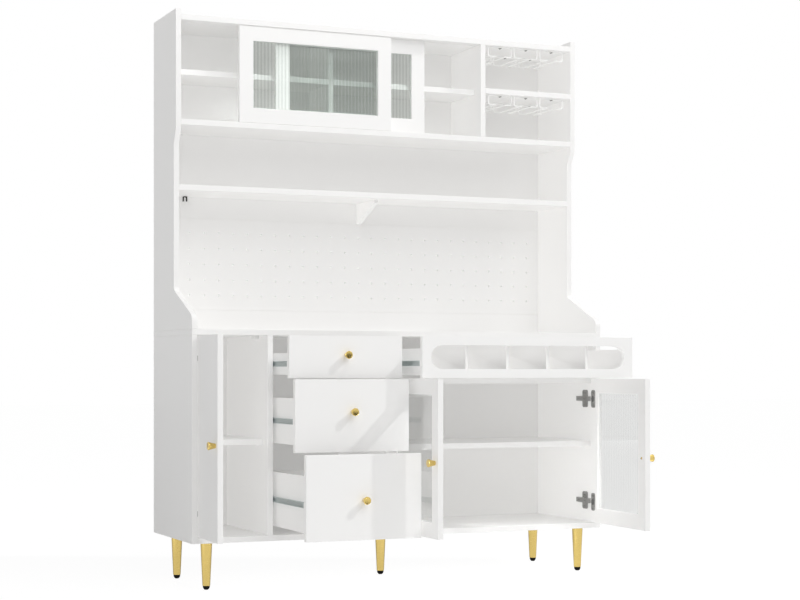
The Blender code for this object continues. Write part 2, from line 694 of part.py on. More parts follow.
def peg_holes(width, height):
    """The pegboard's holes about its middle, in even rows and columns."""
    columns = int((width / 2 - PEG_MARGIN) / PEG_PITCH_X)
    holes = []
    for column in range(-columns, columns + 1):
        for row in range(PEG_ROWS):
            centre = (column * PEG_PITCH_X, (row - (PEG_ROWS - 1) / 2) * PEG_PITCH_Z)
            holes.append(arc(centre, PEG_RADIUS, 0.0, math.tau, PEG_SIDES)[:-1])
    return holes


def build_hutch_back():
    """The back of the hutch: a plain panel over a pegboard over a rail on the worktop."""
    left = LEFT_IN + FIT
    right = RIGHT_IN - FIT
    far = BACK_FACE + BACK_BOARD
    block("hutch_back", (left, BACK_FACE, PEG_TOP + FIT), (right, far, TOP_TOP))
    block("lower_back_rail", (left, BACK_FACE, WORKTOP_TOP + FIT), (right, BACK_FACE + BOARD, PEG_BOTTOM - FIT))
    width = right - left
    mesh = flat_mesh("pegboard", [rectangle(width, PEGBOARD_HEIGHT), *peg_holes(width, PEGBOARD_HEIGHT)], BACK_BOARD)
    board = place("pegboard", mesh, (0.0, (BACK_FACE + far) / 2, (PEG_BOTTOM + PEG_TOP) / 2), None, LACQUER)
    stand_in_xz(board)


def track_lines():
    """The middle of the front and the rear sliding track."""
    front = HUTCH_FRONT + TRACK_FROM_FRONT
    return front, front + TRACK_PITCH


def groove_board(name, low, high, bottom, top):
    """A board of the hutch with the two grooves that the sliding doors run in."""
    board = block(name, low, high)
    half = TONGUE_WIDTH / 2 + TONGUE_PLAY
    for order, line in enumerate(track_lines()):
        groove = block(f"{name}_groove_{order}", (LEFT_IN - BOARD, line - half, bottom),
                       (SLIDING_RIGHT, line + half, top), None, None)
        join(board, groove, "DIFFERENCE")


def build_hutch():
    """The hutch's sides, shelves, partitions and back."""
    hutch_side("hutch_left_side", LEFT + BOARD / 2)
    hutch_side("hutch_right_side", RIGHT - BOARD / 2)
    left = LEFT_IN + FIT
    right = RIGHT_IN - FIT
    back = BACK_FACE - FIT
    groove_board("hutch_top", (left, HUTCH_FRONT, TOP_UNDER), (right, back, TOP_TOP), TOP_UNDER - BOARD,
                 TOP_UNDER + TOP_GROOVE_DEPTH)
    groove_board("hutch_floor", (left, HUTCH_FRONT, UPPER_FLOOR_UNDER), (right, back, UPPER_FLOOR),
                 UPPER_FLOOR - GROOVE_DEPTH, UPPER_FLOOR + BOARD)
    block("mid_shelf", (left, WAIST_FRONT, MID_SHELF_TOP - BOARD), (right, back, MID_SHELF_TOP))
    stand = UPPER_FLOOR + FIT
    head = TOP_UNDER - FIT
    block("wine_partition", (SLIDING_RIGHT, HUTCH_FRONT, stand), (WINE_LEFT, back, head))
    middle = (LEFT_IN + SLIDING_RIGHT) / 2
    block("centre_partition", (middle - BOARD / 2, INNER_FRONT, stand), (middle + BOARD / 2, back, head))
    shelf_under = UPPER_SHELF_TOP - BOARD
    block("upper_shelf_left", (left, INNER_FRONT, shelf_under), (middle - BOARD / 2 - FIT, back, UPPER_SHELF_TOP))
    block("upper_shelf_right", (middle + BOARD / 2 + FIT, INNER_FRONT, shelf_under),
          (SLIDING_RIGHT - FIT, back, UPPER_SHELF_TOP))
    block("wine_shelf", (WINE_LEFT + FIT, HUTCH_FRONT, shelf_under), (right, back, UPPER_SHELF_TOP))
    build_hutch_back()


def build_bracket_and_clip():
    """The gusset under the middle shelf and the small black clip near its left end."""
    under = MID_SHELF_TOP - BOARD - FIT
    back = BACK_FACE - FIT
    gusset = [(back, under), (back - BRACKET_REACH, under), (back - BRACKET_REACH, under - BRACKET_TIP),
              (back - BRACKET_TIP, under - BRACKET_DROP), (back, under - BRACKET_DROP)]
    bracket = place("shelf_bracket", flat_mesh("shelf_bracket", [gusset], BRACKET_THICKNESS), (0, 0, 0), None, LACQUER)
    stand_in_yz(bracket)
    half = CLIP_WIDTH / 2
    inner = half - CLIP_WALL
    loop = rounded([(-half, -CLIP_HEIGHT, 0), (-inner, -CLIP_HEIGHT, 0), (-inner, -CLIP_WALL, inner / 2),
                    (inner, -CLIP_WALL, inner / 2), (inner, -CLIP_HEIGHT, 0), (half, -CLIP_HEIGHT, 0),
                    (half, 0, CLIP_WALL), (-half, 0, CLIP_WALL)], 3)
    spot = (LEFT_IN + CLIP_FROM_SIDE, back - CLIP_FROM_BACK, under)
    clip = place("cable_clip", flat_mesh("cable_clip", [loop], CLIP_DEPTH), spot, None, BLACK)
    stand_in_xz(clip)


def build_sliding_doors():
    """Two framed leaves in the hutch, each pushed part of the way across."""
    width = (SLIDING_RIGHT - LEFT_IN + SLIDE_OVERLAP) / 2 - SLIDE_PLAY
    bottom = UPPER_FLOOR + SLIDE_PLAY
    top = TOP_UNDER - SLIDE_PLAY
    closed_left = LEFT_IN + SLIDE_PLAY
    closed_right = SLIDING_RIGHT - SLIDE_PLAY - width
    for place_name, line, start, shift in (("front", track_lines()[0], closed_left, FRONT_LEAF_SHIFT),
                                           ("rear", track_lines()[1], closed_right, -REAR_LEAF_SHIFT)):
        carrier = carrier_at(f"sliding_door_{place_name}_track", (start, line, bottom))
        name = f"sliding_door_{place_name}_frame"
        leaf = framed_leaf(name, f"sliding_door_{place_name}_pane", (start, bottom), (start + width, top),
                           line - BOARD / 2, carrier)
        low_tongue = block(name + "_low_tongue", (start, line - TONGUE_WIDTH / 2, UPPER_FLOOR - GROOVE_DEPTH + FIT),
                           (start + width, line + TONGUE_WIDTH / 2, bottom + TONGUE_WIDTH), carrier, None)
        top_tongue = block(name + "_top_tongue", (start, line - TONGUE_WIDTH / 2, top - TONGUE_WIDTH),
                           (start + width, line + TONGUE_WIDTH / 2, TOP_UNDER + TOP_TONGUE), carrier, None)
        join(leaf, low_tongue, "UNION")
        join(leaf, top_tongue, "UNION")
        carrier.location.x += shift


def hanger_frame(y):
    """One bent wire of a hanger, across it: feet turned in, posts and a bar along the board above."""
    side = HANGER_WIDTH / 2 - WIRE_RADIUS
    slot = HANGER_SLOT / 2 + WIRE_RADIUS
    low = -HANGER_DROP + WIRE_RADIUS
    high = -WIRE_RADIUS
    bends = [(-slot, low, 0), (-side, low, HANGER_BEND), (-side, high, HANGER_BEND), (side, high, HANGER_BEND),
             (side, low, HANGER_BEND), (slot, low, 0)]
    path = rounded(bends, 3)
    return [(x, y, z) for x, z in path]


def stemware_hanger(name, x, under):
    """A wire hanger that holds stemware by the foot, between two rails along the depth."""
    near = HUTCH_FRONT + HANGER_FROM_FRONT
    far = near + HANGER_LENGTH
    spot = (x, 0.0, under - FIT)
    hanger = place(name, wire_mesh(name, hanger_frame(near)), spot, None, WHITE_WIRE)
    rear = place(name + "_rear", wire_mesh(name + "_rear", hanger_frame(far)), spot, None, None)
    join(hanger, rear, "UNION")
    slot = HANGER_SLOT / 2 + WIRE_RADIUS
    low = -HANGER_DROP + WIRE_RADIUS
    for side in (-1, 1):
        run = [(side * slot, near - 2 * WIRE_RADIUS, low), (side * slot, far + 2 * WIRE_RADIUS, low)]
        rail = place(f"{name}_rail_{side}", wire_mesh(f"{name}_rail_{side}", run), spot, None, None)
        join(hanger, rail, "UNION")


def build_hangers():
    """Hangers in a row under the top and under the wine shelf."""
    middle = (WINE_LEFT + RIGHT_IN) / 2
    for level, under in (("upper", TOP_UNDER), ("lower", UPPER_SHELF_TOP - BOARD)):
        for number in range(HANGER_COUNT):
            x = middle + (number - (HANGER_COUNT - 1) / 2) * HANGER_PITCH
            stemware_hanger(f"stemware_hanger_{level}_{number + 1}", x, under)


build_legs()
build_base()
build_left_door()
build_glass_doors()
build_drawers()
build_wine_drawer()
build_hutch()
build_bracket_and_clip()
build_sliding_doors()
build_hangers()
bpy.context.view_layer.update()
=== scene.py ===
"""Looks of the china cabinet with wine rack: white lacquered boards with eased edges, reeded glass, turned
brass legs and knobs, wire hangers for stemware, cup hinges, drawer runners and small fittings.

Boards and moulded fittings are finished copies of the CAD's own meshes. Every other piece is modelled with
the doors and drawers shut, where its place is easy to give, and is then moved to the rest pose of the CAD
body that it rides on. Metres, +Z up, the front faces -Y.
"""
import json
import math

import bmesh
import bpy
from bpy.props import FloatProperty, FloatVectorProperty, IntProperty, PointerProperty
from bpy.types import Operator, Panel, PropertyGroup
from mathutils import Matrix, Vector

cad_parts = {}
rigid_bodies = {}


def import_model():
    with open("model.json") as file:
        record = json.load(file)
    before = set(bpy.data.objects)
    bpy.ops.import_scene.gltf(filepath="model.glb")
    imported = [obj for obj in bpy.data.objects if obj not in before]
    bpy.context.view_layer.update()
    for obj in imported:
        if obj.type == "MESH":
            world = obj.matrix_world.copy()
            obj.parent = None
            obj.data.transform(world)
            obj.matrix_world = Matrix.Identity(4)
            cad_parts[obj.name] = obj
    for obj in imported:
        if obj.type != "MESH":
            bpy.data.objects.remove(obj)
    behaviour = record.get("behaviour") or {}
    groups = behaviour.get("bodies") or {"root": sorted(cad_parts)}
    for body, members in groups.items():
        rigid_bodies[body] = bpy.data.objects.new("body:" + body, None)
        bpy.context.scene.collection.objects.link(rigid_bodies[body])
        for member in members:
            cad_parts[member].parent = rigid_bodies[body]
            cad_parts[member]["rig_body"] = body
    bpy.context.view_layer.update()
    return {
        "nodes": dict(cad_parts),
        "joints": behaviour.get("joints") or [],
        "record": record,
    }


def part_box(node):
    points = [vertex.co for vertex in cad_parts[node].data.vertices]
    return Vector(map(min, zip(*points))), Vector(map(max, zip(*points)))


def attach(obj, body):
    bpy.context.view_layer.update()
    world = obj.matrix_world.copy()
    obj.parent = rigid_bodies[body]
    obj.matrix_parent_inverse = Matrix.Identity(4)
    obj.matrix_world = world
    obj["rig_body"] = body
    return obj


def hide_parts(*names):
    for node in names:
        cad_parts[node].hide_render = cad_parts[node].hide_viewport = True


bl_info = {
    "name": "China cabinet with wine rack",
    "version": (1, 0, 0),
    "blender": (4, 5, 0),
    "location": "3D View > Sidebar > Cabinet",
    "description": "Dresses the packed cabinet with its lacquer, glass, metal and fittings",
    "category": "Object",
}

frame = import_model()
JOINTS = {joint["child"]: joint for joint in frame["joints"]}
SLOTS = {row["node"]: row["material_slot"] for row in frame["record"]["subparts"]}
FRAMED_LEAVES = ("glass_door_left", "glass_door_right", "sliding_door_front", "sliding_door_rear")
LOOSE_SHELVES = ("left_bay_shelf", "right_bay_shelf", "upper_shelf_left", "upper_shelf_right")
# The way from a swing door's hinged edge to its free edge, along X
HINGE_SIDES = {"left_door": 1, "glass_door_left": 1, "glass_door_right": -1}
FORWARD = Vector((0.0, -1.0, 0.0))
BACKWARD = Vector((0.0, 1.0, 0.0))
LEFT = Vector((-1.0, 0.0, 0.0))
DOWN = Vector((0.0, 0.0, -1.0))
WHITE = (1.0, 1.0, 1.0, 1.0)
RIB = "rib"

# Finish numbers of a board's faces
LACQUER, STEEL, NICKEL = range(3)

# Tolerances in metres
NEAR = 0.0001
MERGE = 0.00002
BUTT_REACH = 0.001
SHORTEST_EASED = 0.001

# Turns between two faces, in radians
FLAT_TURN = 0.004
RIB_TURN = 0.12
SHARP_TURN = 0.6
EASED_TURN = 0.85
WIRE_TURN = 0.9

# Screw heads as (radius, height), and how deep those of knobs, hangers and backs are sunk
KNOB_SCREW = (0.0042, 0.0022)
HANGER_SCREW = (0.0058, 0.0016)
HINGE_SCREW = (0.0040, 0.0016)
ARM_SCREW = (0.0032, 0.0014)
BACK_SCREW = (0.0038, 0.0012)
KNOB_SCREW_SUNK = 0.0002
HANGER_SCREW_SUNK = 0.0004
BACK_SCREW_SUNK = 0.0005

# Runners on a drawer box, the groove along their outer face, and the gap beside a drawer's front
RUNNER_THICKNESS = 0.0109
GROOVE_LAND = 0.0042
GROOVE_SLOPE = 0.0008
GROOVE_DEPTH = 0.0032
FRONT_GAP = 0.003

# Least share of X in the normal of a face that looks sideways
SIDEWAYS = 0.99

# Hinges: where the CAD's plates, arms and flanges lie, and how far their faces stand out
HINGE_FROM_END = 0.070
HINGE_GAP = 0.0008
PLATE_FROM_FRONT = 0.070
PLATE_RISE = 0.0028
PLATE_SCREW_SPREAD = 0.020
ARM_SCREWS = ((0.052, 0.0150), (0.098, 0.0116))
CUP_FROM_EDGE = 0.020
CUP_RISE = 0.0022
CUP_SCREW_RISE = 0.0023
CUP_SCREW_SPREAD = 0.0215

# Panes: how far a frame covers its pane, and the gap between the glass and its bead
PANE_COVER = 0.007
BEAD_LIFT = 0.0003

# Pegboard: the solid margin beside the outer holes, and the sides of a hole
PEG_MARGIN = 0.030
PEG_SIDES = 16

# Shelf pins: how far in from a shelf's edges they are, how deep in the wall, and how far below the shelf
PIN_FROM_EDGE = 0.040
PIN_SUNK = 0.0003
PIN_DROP = 0.0030

# Screws of a back panel: their number in a row, and how far in from its edges they are
BACK_SCREWS = 8
BACK_SCREW_INSET = 0.012
BACK_SCREW_TOP = 0.009

# Turned outlines as (radius, height), in metres, and the radius of a hinge cup's bowl, which takes the
# painted shade of the recess finish
CUP_OUTLINE = ((0.0, 0.0004), (0.0105, 0.0004), (0.0112, 0.0012), (0.0122, 0.0014), (0.0126, 0.0004),
               (0.0126, -0.0020), (0.0, -0.0020))
CUP_BOWL = 0.0104
PIN_OUTLINE = ((0.0, 0.0), (0.0042, 0.0), (0.0045, 0.0006), (0.0042, 0.0012), (0.0026, 0.0014),
               (0.0025, 0.0072), (0.0020, 0.0080), (0.0, 0.0080))

# Turned outlines as shares of a head's or knob's own radius and height
SCREW_OUTLINE = ((0.0, 0.0), (0.94, 0.0), (1.0, 0.25), (0.94, 0.6), (0.6, 0.94), (0.0, 1.0))
KNOB_OUTLINE = ((0.0, 0.0), (0.60, 0.0), (0.60, 0.03), (0.61, 0.08), (0.655, 0.20), (0.715, 0.34),
                (0.785, 0.48), (0.865, 0.62), (0.935, 0.745), (0.98, 0.82), (1.0, 0.88), (0.99, 0.93),
                (0.955, 0.97), (0.89, 0.996), (0.85, 1.0), (0.79, 0.990), (0.76, 0.988), (0.0, 0.988))

# A screw's cross recess, as shares of the head's radius and height
RECESS_LONG = 1.15
RECESS_WIDE = 0.3
RECESS_DEEP = 0.3
RECESS_HEIGHT = 0.88

# A leg's eased top edge, and its foot and pad as (inset from the foot's radius, drop below the pad's top)
LEG_EDGE = 0.0008
PAD_FLAT_INSET = 0.0072
LEG_OUTLINE = ((-0.0001, -0.0010), (0.0002, -0.0003), (0.0008, 0.0), (0.0012, 0.0), (0.0011, 0.0030),
               (0.0018, 0.0062), (0.0034, 0.0092), (0.0056, 0.0115))

# Steps round a turned piece or a wire, along a bend, over a rib and round a bead
LEG_STEPS = 56
KNOB_STEPS = 48
CUP_STEPS = 32
PIN_STEPS = 16
SCREW_STEPS = 14
WIRE_STEPS = 12
BEND_STEPS = 6
RIB_STEPS = 8
BEAD_STEPS = 5

# Sprayed coats: size and tone of their clouds, depth of their skin, and what both add to the roughness
CLOUD_SCALE = 3.0
CLOUD_TONE = 0.985
CLOUD_ROUGHNESS = 0.08
SKIN_DEPTH = 0.0005
SKIN_ROUGHNESS = 0.03

# Metals: share, tone and depth of their fine lines, size of their patches, and what both add to the roughness
LINE_SHARE = 0.6
LINE_TONE = 0.9
LINE_DEPTH = 0.0002
LINE_ROUGHNESS = 0.12
PATCH_SCALE = 30.0
PATCH_ROUGHNESS = 0.05

# Glass: its own roughness, and the size and roughness of its haze
GLASS_ROUGHNESS = 0.01
HAZE_SCALE = 18.0
HAZE_ROUGHNESS = 0.02

# Stage: half the width of the floor and of the dark card, and their tones
FLOOR_REACH = 30.0
FLOOR_TONE = 0.86
CARD_REACH = 2.6
CARD_TONE = 0.02

# The floor in metal: how white it gets, and the rays, by the camera's heading, that find it dark and white
MIRRORED_FLOOR = 0.74
DARK_RAY = -0.8
WHITE_RAY = -0.1


class CabinetSizes(PropertyGroup):
    """Sizes of the details that the dressed cabinet adds."""

    board: FloatProperty(name="Board", description="Thickness of the boards", default=0.018, unit="LENGTH")
    edge: FloatProperty(name="Edge", description="Rounding of the boards' edges", default=0.0009,
                        unit="LENGTH")
    metal_edge: FloatProperty(name="Metal edge", description="Rounding of the metal fittings' edges",
                              default=0.00035, unit="LENGTH")
    peg_radius: FloatProperty(name="Peg hole", description="Radius of the pegboard's holes", default=0.003,
                              unit="LENGTH")
    peg_pitch: FloatVectorProperty(name="Peg pitch", description="Spacing of the holes across and up", size=2,
                                   default=(0.051, 0.0525), unit="LENGTH")
    peg_rows: IntProperty(name="Peg rows", description="Rows of holes", default=5)
    rib_pitch: FloatProperty(name="Rib pitch", description="Width of one rib of the glass", default=0.012,
                             unit="LENGTH")
    rib_height: FloatProperty(name="Rib height", description="Rise of a rib over its edges", default=0.00015,
                              unit="LENGTH")
    bead: FloatProperty(name="Bead", description="Radius of the quarter-round glazing beads", default=0.0028,
                        unit="LENGTH")
    foot_radius: FloatProperty(name="Foot", description="Radius of a leg just above its pad", default=0.0122,
                               unit="LENGTH")
    pad_height: FloatProperty(name="Pad height", description="Height of the pad under a leg", default=0.0125,
                              unit="LENGTH")
    wire_radius: FloatProperty(name="Wire", description="Radius of the hangers' wire", default=0.0022,
                               unit="LENGTH")
    wire_bend: FloatProperty(name="Wire bend", description="Radius of the wire's bends", default=0.006,
                             unit="LENGTH")
    hanger_slot: FloatProperty(name="Hanger slot", description="Room for a stem between two rails",
                               default=0.033, unit="LENGTH")


class CabinetFinishes(PropertyGroup):
    """Colours of the finishes."""

    lacquer: FloatVectorProperty(name="Lacquer", description="White satin lacquer", subtype="COLOR", size=4,
                                 default=(0.894, 0.889, 0.880, 1.0), min=0.0, max=1.0)
    brass: FloatVectorProperty(name="Brass", description="Gold-coloured legs and knobs", subtype="COLOR",
                               size=4, default=(0.80, 0.60, 0.20, 1.0), min=0.0, max=1.0)
    glass: FloatVectorProperty(name="Glass", description="Tint of the hinged doors' reeded glass",
                               subtype="COLOR", size=4, default=(0.82, 0.825, 0.82, 1.0), min=0.0, max=1.0)
    # Painted shade: the sliding panes take a darker copy of the glass's tint, for the dimmer inside behind
    # those doors
    painted_shade_glass: FloatVectorProperty(name="Dark glass", description="Tint of the sliding doors' reeded glass",
                                    subtype="COLOR", size=4, default=(0.736, 0.764, 0.747, 1.0), min=0.0,
                                    max=1.0)
    steel: FloatVectorProperty(name="Steel", description="Runners and back screws", subtype="COLOR", size=4,
                               default=(0.55, 0.60, 0.60, 1.0), min=0.0, max=1.0)
    nickel: FloatVectorProperty(name="Nickel", description="Hinges and small screws", subtype="COLOR", size=4,
                                default=(0.36, 0.36, 0.35, 1.0), min=0.0, max=1.0)
    wire: FloatVectorProperty(name="Wire", description="White powder coat of the hangers", subtype="COLOR",
                              size=4, default=(0.93, 0.93, 0.92, 1.0), min=0.0, max=1.0)
    black: FloatVectorProperty(name="Black plastic", description="Leg pads and clip", subtype="COLOR", size=4,
                               default=(0.006, 0.006, 0.006, 1.0), min=0.0, max=1.0)
    grey: FloatVectorProperty(name="Grey plastic", description="Door catch", subtype="COLOR", size=4,
                              default=(0.80, 0.80, 0.79, 1.0), min=0.0, max=1.0)
    # Painted shade: the dark colour inside screw recesses and hinge cups stands in for the shade that falls
    # there
    recess: FloatVectorProperty(name="Recess", description="Shade inside screw heads and cups",
                                subtype="COLOR", size=4, default=(0.10, 0.10, 0.10, 1.0), min=0.0, max=1.0)


class CabinetStage(PropertyGroup):
    """Camera, floor and light."""

    camera_place: FloatVectorProperty(name="Camera", description="Place of the camera", subtype="TRANSLATION",
                                      default=(-2.3108, -5.4612, 0.6892))
    camera_turn: FloatProperty(name="Camera turn", description="Heading of the camera to the right of +Y",
                               default=math.radians(23.58), subtype="ANGLE")
    lens: FloatProperty(name="Lens", description="Focal length on a 36 mm sensor, in millimetres",
                        default=78.5565)
    rise: FloatProperty(name="Rise", description="Upward shift of the frame, as a share of its width",
                        default=0.0889)
    ambient: FloatProperty(name="Ambient", description="Even light from all round", default=0.226)
    front_light: FloatProperty(name="Front light", description="Power of the soft light in front",
                               default=52.0, unit="POWER")
    top_light: FloatProperty(name="Top light", description="Power of the soft light above", default=62.0,
                             unit="POWER")
    front_fill: FloatProperty(name="Front fill", description="Strength of the fill from the front",
                              default=0.27)
    left_fill: FloatProperty(name="Left fill", description="Strength of the fill from the left",
                             default=0.827)
    down_fill: FloatProperty(name="Down fill", description="Strength of the fill from above", default=0.125)
    up_fill: FloatProperty(name="Up fill", description="Strength of the fill from below", default=0.545)
    key_light: FloatProperty(name="Key light", description="Strength of the distant light, upper right",
                             default=0.98)
    glow: FloatProperty(name="Floor glow", description="Brightness of the floor to the eye", default=1.06)
    shadow: FloatProperty(name="Floor shadow", description="Share of the floor's tone that a shadow can take",
                          default=0.12, subtype="FACTOR", min=0.0, max=1.0)


class Shade:
    """A shader socket: plain maths on it adds Math nodes, and node() adds any other node to its tree."""

    def __init__(self, tree, socket=None):
        self.tree = tree
        self.socket = socket

    def node(self, kind, settings=None, inputs=None, output=0):
        """Add a node: its settings come first, then the values or links of its sockets."""
        made = self.tree.nodes.new(kind)
        for name, value in (settings or {}).items():
            setattr(made, name, value)
        for name, value in (inputs or {}).items():
            if isinstance(value, Shade):
                self.tree.links.new(value.socket, made.inputs[name])
            else:
                made.inputs[name].default_value = value
        return Shade(self.tree, made.outputs[output] if made.outputs else None)

    def maths(self, operation, first, second):
        """Add a Math node on two values or sockets."""
        return self.node("ShaderNodeMath", {"operation": operation}, {0: first, 1: second})

    def __add__(self, other):
        return self.maths("ADD", self, other)

    def __radd__(self, other):
        return self.maths("ADD", other, self)

    def __mul__(self, other):
        return self.maths("MULTIPLY", self, other)

    def __rmul__(self, other):
        return self.maths("MULTIPLY", other, self)


def new_finish(name):
    """An empty material and the start of its nodes."""
    material = bpy.data.materials.new(name)
    material.use_nodes = True
    material.node_tree.nodes.clear()
    return material, Shade(material.node_tree)


def show(shade, surface):
    """End a material in a shader."""
    shade.node("ShaderNodeOutputMaterial", None, {"Surface": surface})


def tones(shade, share, first, second):
    """Blend two colours by a share."""
    return shade.node("ShaderNodeMix", {"data_type": "RGBA"}, {0: share, 6: first, 7: second}, 2)


def scaled(colour, share):
    """A colour times a number, still opaque."""
    return (*(channel * share for channel in colour[:3]), 1.0)


def noise(shade, where, scale, detail=2.0):
    """Cloudy noise from 0 to 1."""
    inputs = {"Vector": where, "Scale": scale, "Detail": detail}
    return shade.node("ShaderNodeTexNoise", None, inputs, "Fac")


def place_of(shade, stretch=(1.0, 1.0, 1.0)):
    """Object coordinates, stretched for a pattern that runs one way."""
    spot = shade.node("ShaderNodeTexCoord", None, None, "Object")
    return shade.node("ShaderNodeMapping", None, {"Vector": spot, "Scale": stretch})


def painted(name, colour, roughness, grain, relief, bend=1.5):
    """A sprayed coat: broad soft clouding and the fine skin that spraying leaves."""
    material, shade = new_finish(name)
    spot = place_of(shade)
    cloud = noise(shade, spot, CLOUD_SCALE)
    skin = noise(shade, spot, grain, detail=1.0)
    tone = tones(shade, cloud, scaled(colour, CLOUD_TONE), colour)
    bump = shade.node("ShaderNodeBump", None, {"Strength": relief, "Distance": SKIN_DEPTH, "Height": skin})
    show(shade, shade.node("ShaderNodeBsdfPrincipled", None, {
        "Base Color": tone,
        "Roughness": roughness + CLOUD_ROUGHNESS * cloud + SKIN_ROUGHNESS * skin,
        "Normal": bump,
        "IOR": bend,
    }))
    return material


def metal(name, colour, roughness, stretch, relief):
    """Plated metal with the fine lines of its making, which run along the least stretched way."""
    material, shade = new_finish(name)
    spot = place_of(shade)
    lines = noise(shade, place_of(shade, stretch), scale=1.0, detail=3.0)
    patch = noise(shade, spot, PATCH_SCALE)
    blend = LINE_SHARE * lines + (1 - LINE_SHARE) * patch
    tone = tones(shade, blend, scaled(colour, LINE_TONE), colour)
    bump = shade.node("ShaderNodeBump", None, {"Strength": relief, "Distance": LINE_DEPTH, "Height": lines})
    show(shade, shade.node("ShaderNodeBsdfPrincipled", None, {
        "Base Color": tone,
        "Metallic": 1.0,
        "Roughness": roughness + LINE_ROUGHNESS * lines + PATCH_ROUGHNESS * patch,
        "Normal": bump,
    }))
    return material


def reeded_glass(name, colour, painted_valley_shade, clear, bend):
    """Tinted glass with painted shade between its ribs; it bends what is behind it and lets lamps shine
    through.
    """
    material, shade = new_finish(name)
    haze = noise(shade, place_of(shade), HAZE_SCALE)
    # Painted shade: the rib's rise darkens the tint towards each valley, standing in for the streaks that the
    # ribs' bending makes
    crest = shade.node("ShaderNodeAttribute", {"attribute_name": RIB}, None, "Fac")
    pane = shade.node("ShaderNodeBsdfPrincipled", None, {
        "Base Color": tones(shade, crest, scaled(colour, painted_valley_shade), colour),
        "Roughness": GLASS_ROUGHNESS + HAZE_ROUGHNESS * haze,
        "Transmission Weight": 1.0,
        "IOR": bend,
    })
    through = shade.node("ShaderNodeBsdfTransparent", None, {"Color": scaled(WHITE, clear)})
    lamps = shade.node("ShaderNodeLightPath", None, None, "Is Shadow Ray")
    show(shade, shade.node("ShaderNodeMixShader", None, {0: lamps, 1: pane, 2: through}))
    return material


FINISHES = {}


def make_finishes(colours):
    """Every finish of the cabinet, by name."""
    FINISHES["lacquer"] = painted("white_lacquer", tuple(colours.lacquer), roughness=0.30, grain=480.0,
                                  relief=0.06)
    FINISHES["wire"] = painted("white_powder_coat", tuple(colours.wire), roughness=0.26, grain=900.0,
                               relief=0.10)
    FINISHES["black"] = painted("black_plastic", tuple(colours.black), roughness=0.38, grain=1500.0,
                                relief=0.15, bend=1.15)
    FINISHES["grey"] = painted("grey_plastic", tuple(colours.grey), roughness=0.42, grain=1200.0,
                               relief=0.12)
    FINISHES["brass_leg"] = metal("turned_brass", tuple(colours.brass), roughness=0.17,
                                  stretch=(40.0, 40.0, 2600.0), relief=0.05)
    FINISHES["brass"] = metal("polished_brass", tuple(colours.brass), roughness=0.10,
                              stretch=(700.0, 700.0, 700.0), relief=0.03)
    FINISHES["steel"] = metal("zinc_steel", tuple(colours.steel), roughness=0.30,
                              stretch=(2200.0, 14.0, 2200.0), relief=0.10)
    FINISHES["nickel"] = metal("nickel_plate", tuple(colours.nickel), roughness=0.20,
                               stretch=(300.0, 300.0, 300.0), relief=0.04)
    # Painted shade inside screw recesses and hinge cups
    FINISHES["recess"] = painted("screw_recess_painted_shade", tuple(colours.recess), roughness=0.5, grain=900.0,
                                 relief=0.1)
    # The valley shares are painted shade between the ribs
    FINISHES["glass"] = reeded_glass("reeded_glass", tuple(colours.glass), painted_valley_shade=0.94, clear=0.97, bend=1.7)
    # Painted shade: a darker copy of the glass with deeper valleys, for the dimmer inside behind the sliding
    # doors
    FINISHES["painted_shade_glass"] = reeded_glass("reeded_glass_painted_shade", tuple(colours.painted_shade_glass), painted_valley_shade=0.68,
                                          clear=0.95, bend=1.25)


def shut_to_rest(body):
    """The move from a body's shut place to its rest pose."""
    joint = JOINTS.get(body)
    if joint is None:
        return Matrix.Identity(4)
    axis = Vector(joint["axis"])
    if joint["type"] == "slide":
        return Matrix.Translation(-joint["range_m"][0] * axis)
    pivot = Matrix.Translation(joint["pos_m"])
    return pivot @ Matrix.Rotation(math.radians(-joint["range_deg"][0]), 4, axis) @ pivot.inverted()


def body_of(node):
    """The CAD body that a node belongs to."""
    return frame["nodes"][node]["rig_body"]


def shut_box(node):
    """A node's lowest and highest corner with its door or drawer shut."""
    back = shut_to_rest(body_of(node)).inverted()
    corners = [back @ vertex.co for vertex in frame["nodes"][node].data.vertices]
    low = Vector(min(corner[axis] for corner in corners) for axis in range(3))
    high = Vector(max(corner[axis] for corner in corners) for axis in range(3))
    return low, high


def finish_piece(name, shape, finishes, body, stands_for=()):
    """Turn a shape into a piece that rides on a body, in the rest pose."""
    mesh = bpy.data.meshes.new(name)
    shape.to_mesh(mesh)
    shape.free()
    for attribute in ("custom_normal", "UVMap"):
        if attribute in mesh.attributes:
            mesh.attributes.remove(mesh.attributes[attribute])
    for finish in finishes:
        mesh.materials.append(FINISHES[finish])
    piece = bpy.data.objects.new(name, mesh)
    bpy.context.scene.collection.objects.link(piece)
    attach(piece, body)
    if stands_for:
        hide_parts(*stands_for)
    return piece


def points_of(geometry):
    """The vertices among what a bmesh operator gives back."""
    return [item for item in geometry if isinstance(item, bmesh.types.BMVert)]


def lines_of(geometry):
    """The edges among what a bmesh operator gives back."""
    return [item for item in geometry if isinstance(item, bmesh.types.BMEdge)]


def open_edges(shape):
    """The edges at which a shape is still open."""
    return [edge for edge in shape.edges if edge.is_boundary]


def close_ends(shape):
    """Fill every open end of a shape."""
    bmesh.ops.holes_fill(shape, edges=open_edges(shape), sides=0)


def merged_copy(node):
    """A copy of a node's mesh with its triangles merged into whole faces."""
    shape = bmesh.new()
    shape.from_mesh(frame["nodes"][node].data)
    bmesh.ops.remove_doubles(shape, verts=shape.verts, dist=MERGE)
    bmesh.ops.dissolve_limit(shape, angle_limit=FLAT_TURN, verts=shape.verts, edges=shape.edges)
    return shape


def smooth(shape, angle):
    """Shade a shape round, with its sharper edges kept."""
    for face in shape.faces:
        face.smooth = True
    for edge in shape.edges:
        edge.smooth = len(edge.link_faces) == 2 and edge.calc_face_angle() < angle


